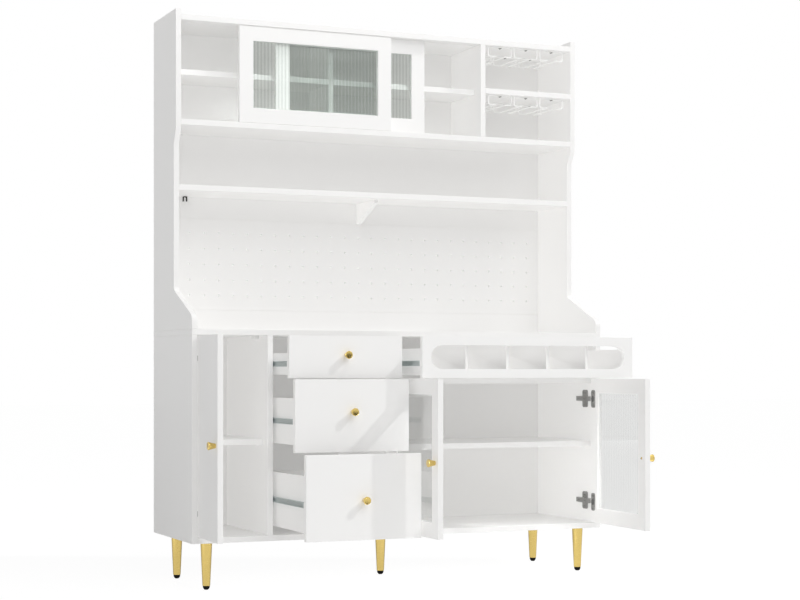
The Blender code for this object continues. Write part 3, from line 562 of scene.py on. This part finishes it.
def to_rest(shape, body):
    """Move a shape from its shut place to the rest pose."""
    bmesh.ops.transform(shape, matrix=shut_to_rest(body), verts=shape.verts)


def facing(point, direction):
    """The place of a shape that stands on a point and points in a direction."""
    return Matrix.Translation(point) @ direction.to_track_quat("Z", "Y").to_matrix().to_4x4()


def turned(profile, steps):
    """A turned solid from (radius, height) points, whose first and last are on its axis."""
    shape = bmesh.new()
    points = [shape.verts.new((radius, 0.0, height)) for radius, height in profile]
    lines = [shape.edges.new(pair) for pair in zip(points, points[1:])]
    bmesh.ops.spin(shape, geom=points + lines, axis=(0, 0, 1), cent=(0, 0, 0), angle=math.tau, steps=steps,
                   use_merge=True)
    bmesh.ops.remove_doubles(shape, verts=shape.verts, dist=MERGE)
    bmesh.ops.recalc_face_normals(shape, faces=shape.faces)
    smooth(shape, SHARP_TURN)
    return shape


def stamp(shape, other, where):
    """Add a copy of another shape at a place."""
    mesh = bpy.data.meshes.new("stamp")
    other.to_mesh(mesh)
    before = len(shape.verts)
    shape.from_mesh(mesh)
    bpy.data.meshes.remove(mesh)
    shape.verts.ensure_lookup_table()
    bmesh.ops.transform(shape, matrix=where, verts=shape.verts[before:])


def screw_head(radius, height):
    """A domed screw head with a cross recess, standing on its origin. The recess has the second finish, its
    painted shade.
    """
    shape = turned([(wide * radius, tall * height) for wide, tall in SCREW_OUTLINE], SCREW_STEPS)
    for long, wide in ((RECESS_LONG, RECESS_WIDE), (RECESS_WIDE, RECESS_LONG)):
        bar = bmesh.new()
        bmesh.ops.create_cube(bar, size=1.0)
        scale = Vector((long * radius, wide * radius, RECESS_DEEP * height))
        bmesh.ops.scale(bar, vec=scale, verts=bar.verts)
        for face in bar.faces:
            face.material_index = 1
        stamp(shape, bar, Matrix.Translation((0.0, 0.0, RECESS_HEIGHT * height)))
        bar.free()
    return shape


def wide_bay_fitting(spot):
    """Steel for a runner beside the wine drawer, nickel for a hinge below it."""
    return STEEL if spot.z > shut_box("wine_drawer_front")[0].z else NICKEL


def fitting_of(node, spot):
    """The finish number of a board's face, from the face's place with the door or drawer shut."""
    low, high = shut_box(node)
    board = bpy.context.scene.cabinet_sizes.board
    if node == "base_left_side":
        return NICKEL if spot.x > low.x + board + NEAR else LACQUER
    if node == "base_right_side":
        return wide_bay_fitting(spot) if spot.x < high.x - board - NEAR else LACQUER
    if node == "left_partition":
        return STEEL if spot.x > low.x + board + NEAR else LACQUER
    if node == "right_partition":
        floor = shut_box("base_floor")[1].z
        left = shut_box("drawer_1_front")[1].x + FRONT_GAP
        if spot.x < left - NEAR and spot.z > floor:
            return STEEL
        return wide_bay_fitting(spot) if spot.x > left + board + NEAR else LACQUER
    if node.endswith("_box"):
        left = low.x + RUNNER_THICKNESS - NEAR
        right = high.x - RUNNER_THICKNESS + NEAR
        return LACQUER if left <= spot.x <= right else STEEL
    if body_of(node) in HINGE_SIDES:
        return NICKEL if spot.y > low.y + board + NEAR else LACQUER
    return LACQUER


def butts(node, edge):
    """True for an edge of an inner board that lies tight against its neighbour, so that no groove shows."""
    if body_of(node) != "carcass" or node.endswith("_side"):
        return False
    if node == "hutch_back":
        return True
    low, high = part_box(node)
    size = high - low
    ends = 0 if size.z < size.x else 2
    planes = [(1, high.y)]
    if node != "worktop":
        planes += [(ends, low[ends]), (ends, high[ends])]
    return any(all(abs(vertex.co[axis] - place) < BUTT_REACH for vertex in edge.verts)
               for axis, place in planes)


def board_shape(node):
    """A merged copy of a board, with its finishes and the rounding of its edges as weights."""
    sizes = bpy.context.scene.cabinet_sizes
    shape = merged_copy(node)
    back = shut_to_rest(body_of(node)).inverted()
    for face in shape.faces:
        face.material_index = fitting_of(node, back @ face.calc_center_median())
        face.smooth = True
    weight = shape.edges.layers.float.new("bevel_weight_edge")
    for edge in shape.edges:
        if len(edge.link_faces) != 2:
            continue
        turn = edge.calc_face_angle()
        eased = turn > EASED_TURN and edge.is_convex and edge.calc_length() > SHORTEST_EASED
        if eased and not butts(node, edge):
            bare = all(face.material_index == LACQUER for face in edge.link_faces)
            edge[weight] = 1.0 if bare else sizes.metal_edge / sizes.edge
        elif turn > SHARP_TURN:
            edge.smooth = False
    return shape


def groove_bars(shape, node):
    """Sink a groove along the outer face of each runner bar on a drawer box."""
    faces = [face for face in shape.faces if face.material_index == STEEL and abs(face.normal.x) > SIDEWAYS]
    if len(faces) != 2:
        raise RuntimeError(f"{node}: expected two runner faces and found {len(faces)}")
    bmesh.ops.inset_individual(shape, faces=faces, thickness=GROOVE_LAND, depth=0.0)
    bmesh.ops.inset_individual(shape, faces=faces, thickness=GROOVE_SLOPE, depth=-GROOVE_DEPTH)


class CABINET_OT_boards(Operator):
    """Ease the edges of every lacquered board, and give runners and hinges their metal"""

    bl_idname = "cabinet.boards"
    bl_label = "Boards"

    def execute(self, context):
        sizes = context.scene.cabinet_sizes
        for node in sorted(name for name, slot in SLOTS.items() if slot == "lacquer"):
            if node == "pegboard":
                continue
            shape = board_shape(node)
            if node.endswith("_box"):
                groove_bars(shape, node)
            finishes = ("lacquer", "steel", "nickel")
            piece = finish_piece(node + "_lacquered", shape, finishes, body_of(node), [node])
            rounding = piece.modifiers.new("eased_edges", "BEVEL")
            rounding.limit_method = "WEIGHT"
            rounding.width = sizes.edge
            rounding.segments = 2
            rounding.profile = 0.5
            rounding.use_clamp_overlap = False
            piece.modifiers.new("even_shading", "WEIGHTED_NORMAL").keep_sharp = True
        return {"FINISHED"}


class CABINET_OT_pegboard(Operator):
    """Build the pegboard from one pierced cell, repeated in rows and columns"""

    bl_idname = "cabinet.pegboard"
    bl_label = "Pegboard"

    def execute(self, context):
        sizes = context.scene.cabinet_sizes
        low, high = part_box("pegboard")
        middle = (low + high) / 2
        reach = Vector(((high.x - low.x) / 2, (high.z - low.z) / 2))
        pitch = Vector(sizes.peg_pitch)
        columns = int((reach.x - PEG_MARGIN) / pitch.x)
        shape = bmesh.new()
        bmesh.ops.create_circle(shape, segments=PEG_SIDES, radius=sizes.peg_radius)
        square = bmesh.ops.create_circle(shape, segments=PEG_SIDES, radius=1.0)["verts"]
        for vertex in square:
            vertex.co /= max(abs(vertex.co.x), abs(vertex.co.y))
        bmesh.ops.scale(shape, vec=(pitch.x / 2, pitch.y / 2, 1.0), verts=square)
        bmesh.ops.bridge_loops(shape, edges=shape.edges[:])
        cell = shape.verts[:] + shape.edges[:] + shape.faces[:]
        rows = sizes.peg_rows
        for column in range(-columns, columns + 1):
            for row in range(rows):
                step = Vector((column * pitch.x, (row - (rows - 1) / 2) * pitch.y, 0.0))
                copy = bmesh.ops.duplicate(shape, geom=cell)["geom"]
                bmesh.ops.translate(shape, vec=step, verts=points_of(copy))
        bmesh.ops.delete(shape, geom=points_of(cell), context="VERTS")
        bmesh.ops.remove_doubles(shape, verts=shape.verts, dist=MERGE)
        pierced = Vector(((columns + 0.5) * pitch.x, rows / 2 * pitch.y))
        self.grow_margin(shape, pierced, reach)
        raised = bmesh.ops.extrude_face_region(shape, geom=shape.faces[:])["geom"]
        bmesh.ops.translate(shape, vec=(0.0, 0.0, high.y - low.y), verts=points_of(raised))
        bmesh.ops.recalc_face_normals(shape, faces=shape.faces)
        stand = Matrix.Translation((middle.x, high.y, middle.z)) @ Matrix.Rotation(math.pi / 2, 4, "X")
        bmesh.ops.transform(shape, matrix=stand, verts=shape.verts)
        smooth(shape, SHARP_TURN)
        finish_piece("pegboard_lacquered", shape, ("lacquer",), "carcass", ["pegboard"])
        return {"FINISHED"}

    def grow_margin(self, shape, pierced, reach):
        """Draw the pierced field's outer edges out to the board's own outline."""
        outer = [edge for edge in open_edges(shape)
                 if all(abs(abs(vertex.co.x) - pierced.x) < NEAR for vertex in edge.verts)
                 or all(abs(abs(vertex.co.y) - pierced.y) < NEAR for vertex in edge.verts)]
        grown = bmesh.ops.extrude_edge_only(shape, edges=outer)["geom"]
        for vertex in points_of(grown):
            if abs(abs(vertex.co.x) - pierced.x) < NEAR:
                vertex.co.x = math.copysign(reach.x, vertex.co.x)
            if abs(abs(vertex.co.y) - pierced.y) < NEAR:
                vertex.co.y = math.copysign(reach.y, vertex.co.y)


class CABINET_OT_panes(Operator):
    """Build the reeded panes and the glazing beads that hold them"""

    bl_idname = "cabinet.panes"
    bl_label = "Reeded panes"

    def execute(self, context):
        sizes = context.scene.cabinet_sizes
        for leaf in FRAMED_LEAVES:
            node = leaf + "_pane"
            low, high = shut_box(node)
            shape = self.ribs(low, high, sizes)
            to_rest(shape, leaf)
            # The sliding doors' panes take the darker glass, which is painted shade
            finish = "painted_shade_glass" if leaf.startswith("sliding") else "glass"
            finish_piece(node + "_reeded", shape, (finish,), leaf, [node])
            self.bead(leaf, low, high, sizes.bead)
        return {"FINISHED"}

    def ribs(self, low, high, sizes):
        """A sheet of round ribs, each spun from one point, with a flat back."""
        count = round((high.x - low.x) / sizes.rib_pitch)
        half = (high.x - low.x) / count / 2
        radius = (half * half + sizes.rib_height ** 2) / (2 * sizes.rib_height)
        shape = bmesh.new()
        start = shape.verts.new((low.x, low.y + sizes.rib_height, low.z))
        turn = 2 * math.asin(half / radius)
        centre = (low.x + half, low.y + radius, low.z)
        bmesh.ops.spin(shape, geom=[start], cent=centre, axis=(0, 0, 1), angle=turn, steps=RIB_STEPS)
        rib = shape.verts[:] + shape.edges[:]
        for step in range(1, count):
            copy = bmesh.ops.duplicate(shape, geom=rib)["geom"]
            bmesh.ops.translate(shape, vec=(2 * half * step, 0.0, 0.0), verts=points_of(copy))
        bmesh.ops.remove_doubles(shape, verts=shape.verts, dist=MERGE)
        top = bmesh.ops.extrude_edge_only(shape, edges=shape.edges[:])["geom"]
        bmesh.ops.translate(shape, vec=(0.0, 0.0, high.z - low.z), verts=points_of(top))
        back = bmesh.ops.extrude_edge_only(shape, edges=open_edges(shape))["geom"]
        for vertex in points_of(back):
            vertex.co.y = high.y
        close_ends(shape)
        bmesh.ops.recalc_face_normals(shape, faces=shape.faces)
        smooth(shape, RIB_TURN)
        # The rise of each rib, kept for the glass finish, whose painted shade darkens the valleys
        crest = shape.verts.layers.float.new(RIB)
        for vertex in shape.verts:
            across = (vertex.co.x - low.x) / (2 * half)
            rise = math.sin(math.pi * (across - math.floor(across)))
            vertex[crest] = 1.0 if vertex.co.y > high.y - NEAR else rise
        return shape

    def bead(self, leaf, low, high, size):
        """A quarter-round bead inside the frame, against the back of the pane with these two corners."""
        left = low.x + PANE_COVER
        right = high.x - PANE_COVER
        bottom = low.z + PANE_COVER
        top = high.z - PANE_COVER
        corners = ((left, bottom, 1, 1), (right, bottom, -1, 1), (right, top, -1, -1), (left, top, 1, -1))
        turns = [step / BEAD_STEPS * math.pi / 2 for step in range(BEAD_STEPS + 1)]
        profile = [(size * math.cos(turn), size * math.sin(turn)) for turn in turns]
        shape = bmesh.new()
        rings = []
        for across, rise in (*profile, (0.0, 0.0)):
            depth = high.y + BEAD_LIFT + rise
            ring = [shape.verts.new((x + inward * across, depth, z + upward * across))
                    for x, z, inward, upward in corners]
            rings.append([shape.edges.new((ring[step - 1], ring[step])) for step in range(4)])
        for first, second in zip(rings, rings[1:] + rings[:1]):
            bmesh.ops.bridge_loops(shape, edges=first + second)
        bmesh.ops.recalc_face_normals(shape, faces=shape.faces)
        smooth(shape, SHARP_TURN)
        to_rest(shape, leaf)
        finish_piece(leaf + "_glazing_bead", shape, ("lacquer",), leaf)


class CABINET_OT_legs(Operator):
    """Turn the five tapered legs with their black pads"""

    bl_idname = "cabinet.legs"
    bl_label = "Legs"

    def execute(self, context):
        sizes = context.scene.cabinet_sizes
        foot = sizes.foot_radius
        pad = sizes.pad_height
        lower = [(foot - inset, pad - drop) for inset, drop in LEG_OUTLINE]
        for node in sorted(name for name in SLOTS if name.startswith("leg_")):
            low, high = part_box(node)
            wide = (high.x - low.x) / 2
            upper = [(0.0, high.z), (wide - LEG_EDGE, high.z), (wide, high.z - LEG_EDGE)]
            shape = turned([*upper, *lower, (foot - PAD_FLAT_INSET, 0.0), (0.0, 0.0)], LEG_STEPS)
            for face in shape.faces:
                face.material_index = 1 if face.calc_center_median().z < pad - NEAR else 0
            middle = (low + high) / 2
            bmesh.ops.translate(shape, vec=(middle.x, middle.y, 0.0), verts=shape.verts)
            finish_piece(node + "_turned", shape, ("brass_leg", "black"), "carcass", [node])
        return {"FINISHED"}


class CABINET_OT_knobs(Operator):
    """Turn the knobs, and put the screws that hold them inside the doors"""

    bl_idname = "cabinet.knobs"
    bl_label = "Knobs"

    def execute(self, context):
        board = context.scene.cabinet_sizes.board
        screw = screw_head(*KNOB_SCREW)
        for node in sorted(name for name in SLOTS if name.endswith("_knob")):
            low, high = shut_box(node)
            body = body_of(node)
            middle = Vector(((low.x + high.x) / 2, high.y, (low.z + high.z) / 2))
            wide = (high.x - low.x) / 2
            long = high.y - low.y
            shape = turned([(radius * wide, height * long) for radius, height in KNOB_OUTLINE], KNOB_STEPS)
            bmesh.ops.transform(shape, matrix=facing(middle, FORWARD), verts=shape.verts)
            to_rest(shape, body)
            finish_piece(node + "_turned", shape, ("brass",), body, [node])
            inside = bmesh.new()
            stamp(inside, screw, facing(middle + BACKWARD * (board - KNOB_SCREW_SUNK), BACKWARD))
            to_rest(inside, body)
            finish_piece(node + "_screw", inside, ("brass", "recess"), body)
        screw.free()
        return {"FINISHED"}


class CABINET_OT_hangers(Operator):
    """Bend the wire hangers for stemware, and screw them to the board above"""

    bl_idname = "cabinet.hangers"
    bl_label = "Stemware hangers"

    def execute(self, context):
        sizes = context.scene.cabinet_sizes
        screw = screw_head(*HANGER_SCREW)
        for node in sorted(name for name in SLOTS if name.startswith("stemware_hanger")):
            low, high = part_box(node)
            radius = sizes.wire_radius
            near = low.y + 2 * radius
            far = high.y - 2 * radius
            middle = (low.x + high.x) / 2
            shape = bmesh.new()
            for depth in (near, far):
                self.bent_frame(shape, low, high, depth, sizes)
            slot = sizes.hanger_slot / 2 + radius
            for side in (-1, 1):
                self.rail(shape, Vector((middle + side * slot, low.y, low.z + radius)), high.y - low.y, sizes)
            bmesh.ops.recalc_face_normals(shape, faces=shape.faces)
            smooth(shape, WIRE_TURN)
            finish_piece(node + "_wire", shape, ("wire",), "carcass", [node])
            heads = bmesh.new()
            for depth in (near, far):
                seat = high.z - 2 * radius + HANGER_SCREW_SUNK
                stamp(heads, screw, facing(Vector((middle, depth, seat)), DOWN))
            finish_piece(node + "_screws", heads, ("nickel", "recess"), "carcass")
        screw.free()
        return {"FINISHED"}

    def bent_frame(self, shape, low, high, depth, sizes):
        """One wire pushed along and bent four times: foot, post, top bar, post, foot."""
        radius = sizes.wire_radius
        bend = sizes.wire_bend
        slot = sizes.hanger_slot / 2 + radius
        middle = (low.x + high.x) / 2
        side = (high.x - low.x) / 2 - radius
        tall = high.z - low.z - 2 * radius
        start = Vector((middle - slot, depth, low.z + radius))
        heading = LEFT
        ends = self.wire_end(shape, start, heading, radius)
        spot = start
        for length in (side - slot - bend, tall - 2 * bend, 2 * (side - bend), tall - 2 * bend):
            ends, spot = self.push(shape, ends, spot, heading, length)
            ends, spot, heading = self.turn(shape, ends, spot, heading, bend)
        ends, spot = self.push(shape, ends, spot, heading, side - slot - bend)
        close_ends(shape)

    def rail(self, shape, start, length, sizes):
        """A straight rail along the depth."""
        ends = self.wire_end(shape, start, BACKWARD, sizes.wire_radius)
        self.push(shape, ends, start, BACKWARD, length)
        close_ends(shape)

    def wire_end(self, shape, start, heading, radius):
        """The round end that a wire grows from, as its edges."""
        where = facing(start, heading)
        ring = bmesh.ops.create_circle(shape, segments=WIRE_STEPS, radius=radius, matrix=where)["verts"]
        return list(dict.fromkeys(edge for vertex in ring for edge in vertex.link_edges))

    def push(self, shape, ends, spot, heading, length):
        """Push the wire straight on."""
        grown = bmesh.ops.extrude_edge_only(shape, edges=ends)["geom"]
        ring = points_of(grown)
        bmesh.ops.translate(shape, vec=heading * length, verts=ring)
        edges = [edge for edge in lines_of(grown) if all(vertex in ring for vertex in edge.verts)]
        return edges, spot + heading * length

    def turn(self, shape, ends, spot, heading, bend):
        """Bend the wire a quarter turn clockwise, seen from the front."""
        centre = spot + BACKWARD.cross(heading) * bend
        ring = list(dict.fromkeys(vertex for edge in ends for vertex in edge.verts))
        last = bmesh.ops.spin(shape, geom=ring + ends, cent=centre, axis=BACKWARD, angle=math.pi / 2,
                              steps=BEND_STEPS)
        spot = centre + Matrix.Rotation(math.pi / 2, 3, BACKWARD) @ (spot - centre)
        return lines_of(last["geom_last"]), spot, BACKWARD.cross(heading)


class CABINET_OT_hinges(Operator):
    """Add the screws and cups of the hinges"""

    bl_idname = "cabinet.hinges"
    bl_label = "Hinges"

    def execute(self, context):
        board = context.scene.cabinet_sizes.board
        screw = screw_head(*HINGE_SCREW)
        small = screw_head(*ARM_SCREW)
        cup = turned(CUP_OUTLINE, CUP_STEPS)
        # The cup's bowl takes the second finish, painted shade
        for face in cup.faces:
            spot = face.calc_center_median()
            face.material_index = 1 if spot.xy.length < CUP_BOWL and spot.z > 0.0 else 0
        for door, side in HINGE_SIDES.items():
            leaf = "left_door_panel" if door == "left_door" else door + "_frame"
            low, high = shut_box(leaf)
            hinge_edge = low.x if side > 0 else high.x
            wall = hinge_edge - side * HINGE_GAP
            inner = low.y + board
            across = Vector((side, 0.0, 0.0))
            heads = bmesh.new()
            cups = bmesh.new()
            for height in (low.z + HINGE_FROM_END, high.z - HINGE_FROM_END):
                for shift in (-PLATE_SCREW_SPREAD, PLATE_SCREW_SPREAD):
                    spot = Vector((wall + side * PLATE_RISE, low.y + PLATE_FROM_FRONT, height + shift))
                    stamp(heads, screw, facing(spot, across))
                for depth, rise in ARM_SCREWS:
                    spot = Vector((wall + side * rise, low.y + depth, height))
                    stamp(heads, small, facing(spot, across))
                centre = Vector((hinge_edge + side * CUP_FROM_EDGE, inner + CUP_RISE, height))
                stamp(cups, cup, facing(centre, BACKWARD))
                for shift in (-CUP_SCREW_SPREAD, CUP_SCREW_SPREAD):
                    spot = Vector((centre.x, inner + CUP_SCREW_RISE, height + shift))
                    stamp(cups, screw, facing(spot, BACKWARD))
            finish_piece(door + "_hinge_screws", heads, ("nickel", "recess"), "carcass")
            to_rest(cups, door)
            finish_piece(door + "_hinge_cups", cups, ("nickel", "recess"), door)
        for shape in (screw, small, cup):
            shape.free()
        return {"FINISHED"}


class CABINET_OT_fittings(Operator):
    """Add shelf pins, the screws of the backs, the catch and the clip"""

    bl_idname = "cabinet.fittings"
    bl_label = "Small fittings"

    def execute(self, context):
        self.shelf_pins()
        self.back_screws()
        self.plain_fitting("door_catch", "grey", "grey_plastic", rounding=0.0016)
        self.plain_fitting("cable_clip", "black", "black_plastic", rounding=0.0006, slimmer=(0.8, 1.0, 0.86))
        return {"FINISHED"}

    def shelf_pins(self):
        """Four pins under each loose shelf."""
        pin = turned(PIN_OUTLINE, PIN_STEPS)
        shape = bmesh.new()
        for node in LOOSE_SHELVES:
            low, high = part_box(node)
            for depth in (low.y + PIN_FROM_EDGE, high.y - PIN_FROM_EDGE):
                for x, side in ((low.x - PIN_SUNK, 1), (high.x + PIN_SUNK, -1)):
                    spot = Vector((x, depth, low.z - PIN_DROP))
                    stamp(shape, pin, facing(spot, Vector((side, 0.0, 0.0))))
        pin.free()
        finish_piece("shelf_pins", shape, ("wire",), "carcass")

    def back_screws(self):
        """Screws along the upper and lower edges of the two back panels."""
        screw = screw_head(*BACK_SCREW)
        shape = bmesh.new()
        for node in ("base_back", "hutch_back"):
            low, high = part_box(node)
            pitch = (high.x - low.x - 2 * BACK_SCREW_INSET) / (BACK_SCREWS - 1)
            for column in range(BACK_SCREWS):
                x = low.x + BACK_SCREW_INSET + pitch * column
                for z in (low.z + BACK_SCREW_INSET, high.z - BACK_SCREW_TOP):
                    stamp(shape, screw, facing(Vector((x, high.y - BACK_SCREW_SUNK, z)), BACKWARD))
        screw.free()
        finish_piece("back_panel_screws", shape, ("steel", "recess"), "carcass")

    def plain_fitting(self, node, finish, slot, rounding, slimmer=(1.0, 1.0, 1.0)):
        """A small moulded fitting with rounded edges, which may be slimmer under the board it hangs from."""
        shape = merged_copy(node)
        edges = [edge for edge in shape.edges if edge.is_convex and edge.calc_face_angle() > EASED_TURN]
        bmesh.ops.bevel(shape, geom=edges, offset=rounding, affect="EDGES", segments=3, profile=0.5,
                        material=-1, clamp_overlap=True)
        low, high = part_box(node)
        seat = Matrix.Translation((-(low.x + high.x) / 2, 0.0, -high.z))
        bmesh.ops.scale(shape, vec=slimmer, space=seat, verts=shape.verts)
        smooth(shape, SHARP_TURN)
        finish_piece(node + "_moulded", shape, (finish,), body_of(node), [node])


class CABINET_OT_stage(Operator):
    """Set up the camera, the pale floor and the soft studio light"""

    bl_idname = "cabinet.stage"
    bl_label = "Stage"

    def execute(self, context):
        stage = context.scene.cabinet_stage
        self.camera(context.scene, stage)
        self.world(context.scene, stage)
        self.floor(context.scene, stage)
        self.dark_card(context.scene)
        self.lamps(context.scene, stage)
        context.scene.view_settings.view_transform = "Standard"
        return {"FINISHED"}

    def camera(self, scene, stage):
        """The camera at the photograph's viewing angle."""
        lens = bpy.data.cameras.new("camera")
        lens.sensor_fit = "HORIZONTAL"
        lens.sensor_width = 36.0
        lens.lens = stage.lens
        lens.shift_y = stage.rise
        camera = bpy.data.objects.new("camera", lens)
        camera.location = stage.camera_place
        camera.rotation_euler = (math.pi / 2, 0.0, -stage.camera_turn)
        scene.collection.objects.link(camera)
        scene.camera = camera

    def world(self, scene, stage):
        """White to the eye, and a lower even light on the object."""
        world = bpy.data.worlds.new("studio")
        world.use_nodes = True
        world.node_tree.nodes.clear()
        shade = Shade(world.node_tree)
        seen = self.seen(shade, 1.0)
        even = shade.node("ShaderNodeBackground", None, {"Color": WHITE, "Strength": stage.ambient})
        white = shade.node("ShaderNodeBackground", None, {"Color": WHITE, "Strength": 1.0})
        sky = shade.node("ShaderNodeMixShader", None, {0: seen, 1: even, 2: white})
        shade.node("ShaderNodeOutputWorld", None, {"Surface": sky})
        scene.world = world

    def seen(self, shade, mirrored):
        """1 for what the eye sees straight or through glass, and a share of it for what metal mirrors."""
        straight = shade.node("ShaderNodeLightPath", None, None, "Is Camera Ray")
        metal_ray = shade.node("ShaderNodeLightPath", None, None, "Is Glossy Ray")
        glass_ray = shade.node("ShaderNodeLightPath", None, None, "Is Transmission Ray")
        return shade.maths("MAXIMUM", shade.maths("MAXIMUM", straight, mirrored * metal_ray), glass_ray)

    def sheet(self, scene, name, reach, material):
        """A flat square of the stage, centred on its origin."""
        shape = bmesh.new()
        bmesh.ops.create_grid(shape, x_segments=1, y_segments=1, size=reach)
        mesh = bpy.data.meshes.new(name)
        shape.to_mesh(mesh)
        shape.free()
        mesh.materials.append(material)
        sheet = bpy.data.objects.new(name, mesh)
        scene.collection.objects.link(sheet)
        return sheet

    def floor(self, scene, stage):
        """A pale floor that reads white and keeps the object's shadow."""
        material, shade = new_finish("pale_floor")
        plain = shade.node("ShaderNodeBsdfDiffuse", None, {"Color": scaled(WHITE, FLOOR_TONE)})
        catcher = shade.node("ShaderNodeBsdfDiffuse", None, {"Color": WHITE})
        glow = shade.node("ShaderNodeEmission", None, {"Color": WHITE, "Strength": stage.glow})
        white = shade.node("ShaderNodeMixShader", None, {0: stage.shadow, 1: glow, 2: catcher})
        seen = self.seen(shade, self.mirrored_floor(shade, stage))
        show(shade, shade.node("ShaderNodeMixShader", None, {0: seen, 1: plain, 2: white}))
        floor = self.sheet(scene, "floor", FLOOR_REACH, material)

    def mirrored_floor(self, shade, stage):
        """How white metal mirrors the floor: less where its ray runs on away from the camera."""
        ahead = (math.sin(stage.camera_turn), math.cos(stage.camera_turn), 0.0)
        back = shade.node("ShaderNodeNewGeometry", None, None, "Incoming")
        away = shade.node("ShaderNodeVectorMath", {"operation": "DOT_PRODUCT"}, {0: back, 1: ahead}, "Value")
        return shade.node("ShaderNodeMapRange", None, {
            "Value": away,
            "From Min": DARK_RAY,
            "From Max": WHITE_RAY,
            "To Min": 0.0,
            "To Max": MIRRORED_FLOOR,
        })

    def dark_card(self, scene):
        """A dark card at the front right that only polished faces and glass mirror."""
        material, shade = new_finish("dark_card")
        show(shade, shade.node("ShaderNodeBsdfDiffuse", None, {"Color": scaled(WHITE, CARD_TONE)}))
        card = self.sheet(scene, "dark_card", CARD_REACH, material)
        aim = Vector((-0.2, -0.4, 1.0))
        card.location = (3.5, -9.0, 2.9)
        card.rotation_euler = (aim - card.location).to_track_quat("Z", "Y").to_euler()
        card.visible_camera = False
        card.visible_diffuse = False
        card.visible_transmission = False
        card.visible_shadow = False

    def lamps(self, scene, stage):
        """Broad soft lights in front and above, a distant one from the upper right, and shadowless fills."""
        self.softbox(scene, "front_light", stage.front_light, spot=(0.8, -4.4, 3.5), size=(4.0, 2.0))
        self.softbox(scene, "top_light", stage.top_light, spot=(0.6, -2.2, 4.6), size=(4.0, 3.0))
        key = self.distant(scene, "key_light", stage.key_light, Vector((-0.67, 0.33, -0.67)))
        key.angle = math.radians(1.2)
        fills = {
            "front_fill": (stage.front_fill, Vector((-0.20, 0.95, -0.22))),
            "left_fill": (stage.left_fill, Vector((0.97, 0.20, -0.10))),
            "down_fill": (stage.down_fill, Vector((0.0, 0.05, -1.0))),
            "up_fill": (stage.up_fill, Vector((0.0, 0.05, 1.0))),
        }
        for name, (strength, course) in fills.items():
            self.distant(scene, name, strength, course).use_shadow = False

    def softbox(self, scene, name, power, spot, size):
        """A broad soft light aimed at the middle of the cabinet."""
        light = bpy.data.lights.new(name, "AREA")
        light.shape = "RECTANGLE"
        light.size, light.size_y = size
        light.energy = power
        lamp = bpy.data.objects.new(name, light)
        lamp.location = spot
        aim = Vector((0.0, 0.0, 0.9))
        lamp.rotation_euler = (aim - lamp.location).to_track_quat("-Z", "Y").to_euler()
        lamp.visible_glossy = False
        scene.collection.objects.link(lamp)

    def distant(self, scene, name, strength, course):
        """A distant light that shines along a course."""
        light = bpy.data.lights.new(name, "SUN")
        light.energy = strength
        lamp = bpy.data.objects.new(name, light)
        lamp.rotation_euler = course.to_track_quat("-Z", "Y").to_euler()
        scene.collection.objects.link(lamp)
        return light


class VIEW3D_PT_cabinet(Panel):
    """Lists the steps that dress the cabinet, with their sizes and colours."""

    bl_label = "China cabinet"
    bl_space_type = "VIEW_3D"
    bl_region_type = "UI"
    bl_category = "Cabinet"

    def draw(self, context):
        layout = self.layout
        for step in STEPS:
            layout.operator(step.bl_idname)
        for name in GROUPS:
            group = getattr(context.scene, name)
            box = layout.box()
            for setting in group.__annotations__:
                box.prop(group, setting)


STEPS = (CABINET_OT_boards, CABINET_OT_pegboard, CABINET_OT_panes, CABINET_OT_legs, CABINET_OT_knobs,
         CABINET_OT_hangers, CABINET_OT_hinges, CABINET_OT_fittings, CABINET_OT_stage)
GROUPS = {"cabinet_sizes": CabinetSizes, "cabinet_finishes": CabinetFinishes, "cabinet_stage": CabinetStage}


def register():
    """Register the classes and hang the settings on the scene."""
    for group in GROUPS.values():
        bpy.utils.register_class(group)
    for step in STEPS:
        bpy.utils.register_class(step)
    bpy.utils.register_class(VIEW3D_PT_cabinet)
    for name, group in GROUPS.items():
        setattr(bpy.types.Scene, name, PointerProperty(type=group))


def unregister():
    """Take the settings off the scene and the classes out."""
    for name in GROUPS:
        delattr(bpy.types.Scene, name)
    bpy.utils.unregister_class(VIEW3D_PT_cabinet)
    for step in reversed(STEPS):
        bpy.utils.unregister_class(step)
    for group in reversed(tuple(GROUPS.values())):
        bpy.utils.unregister_class(group)


def main():
    """Dress the cabinet and set the stage."""
    register()
    make_finishes(bpy.context.scene.cabinet_finishes)
    bpy.ops.cabinet.boards()
    bpy.ops.cabinet.pegboard()
    bpy.ops.cabinet.panes()
    bpy.ops.cabinet.legs()
    bpy.ops.cabinet.knobs()
    bpy.ops.cabinet.hangers()
    bpy.ops.cabinet.hinges()
    bpy.ops.cabinet.fittings()
    bpy.ops.cabinet.stage()


if __name__ == "__main__":
    main()
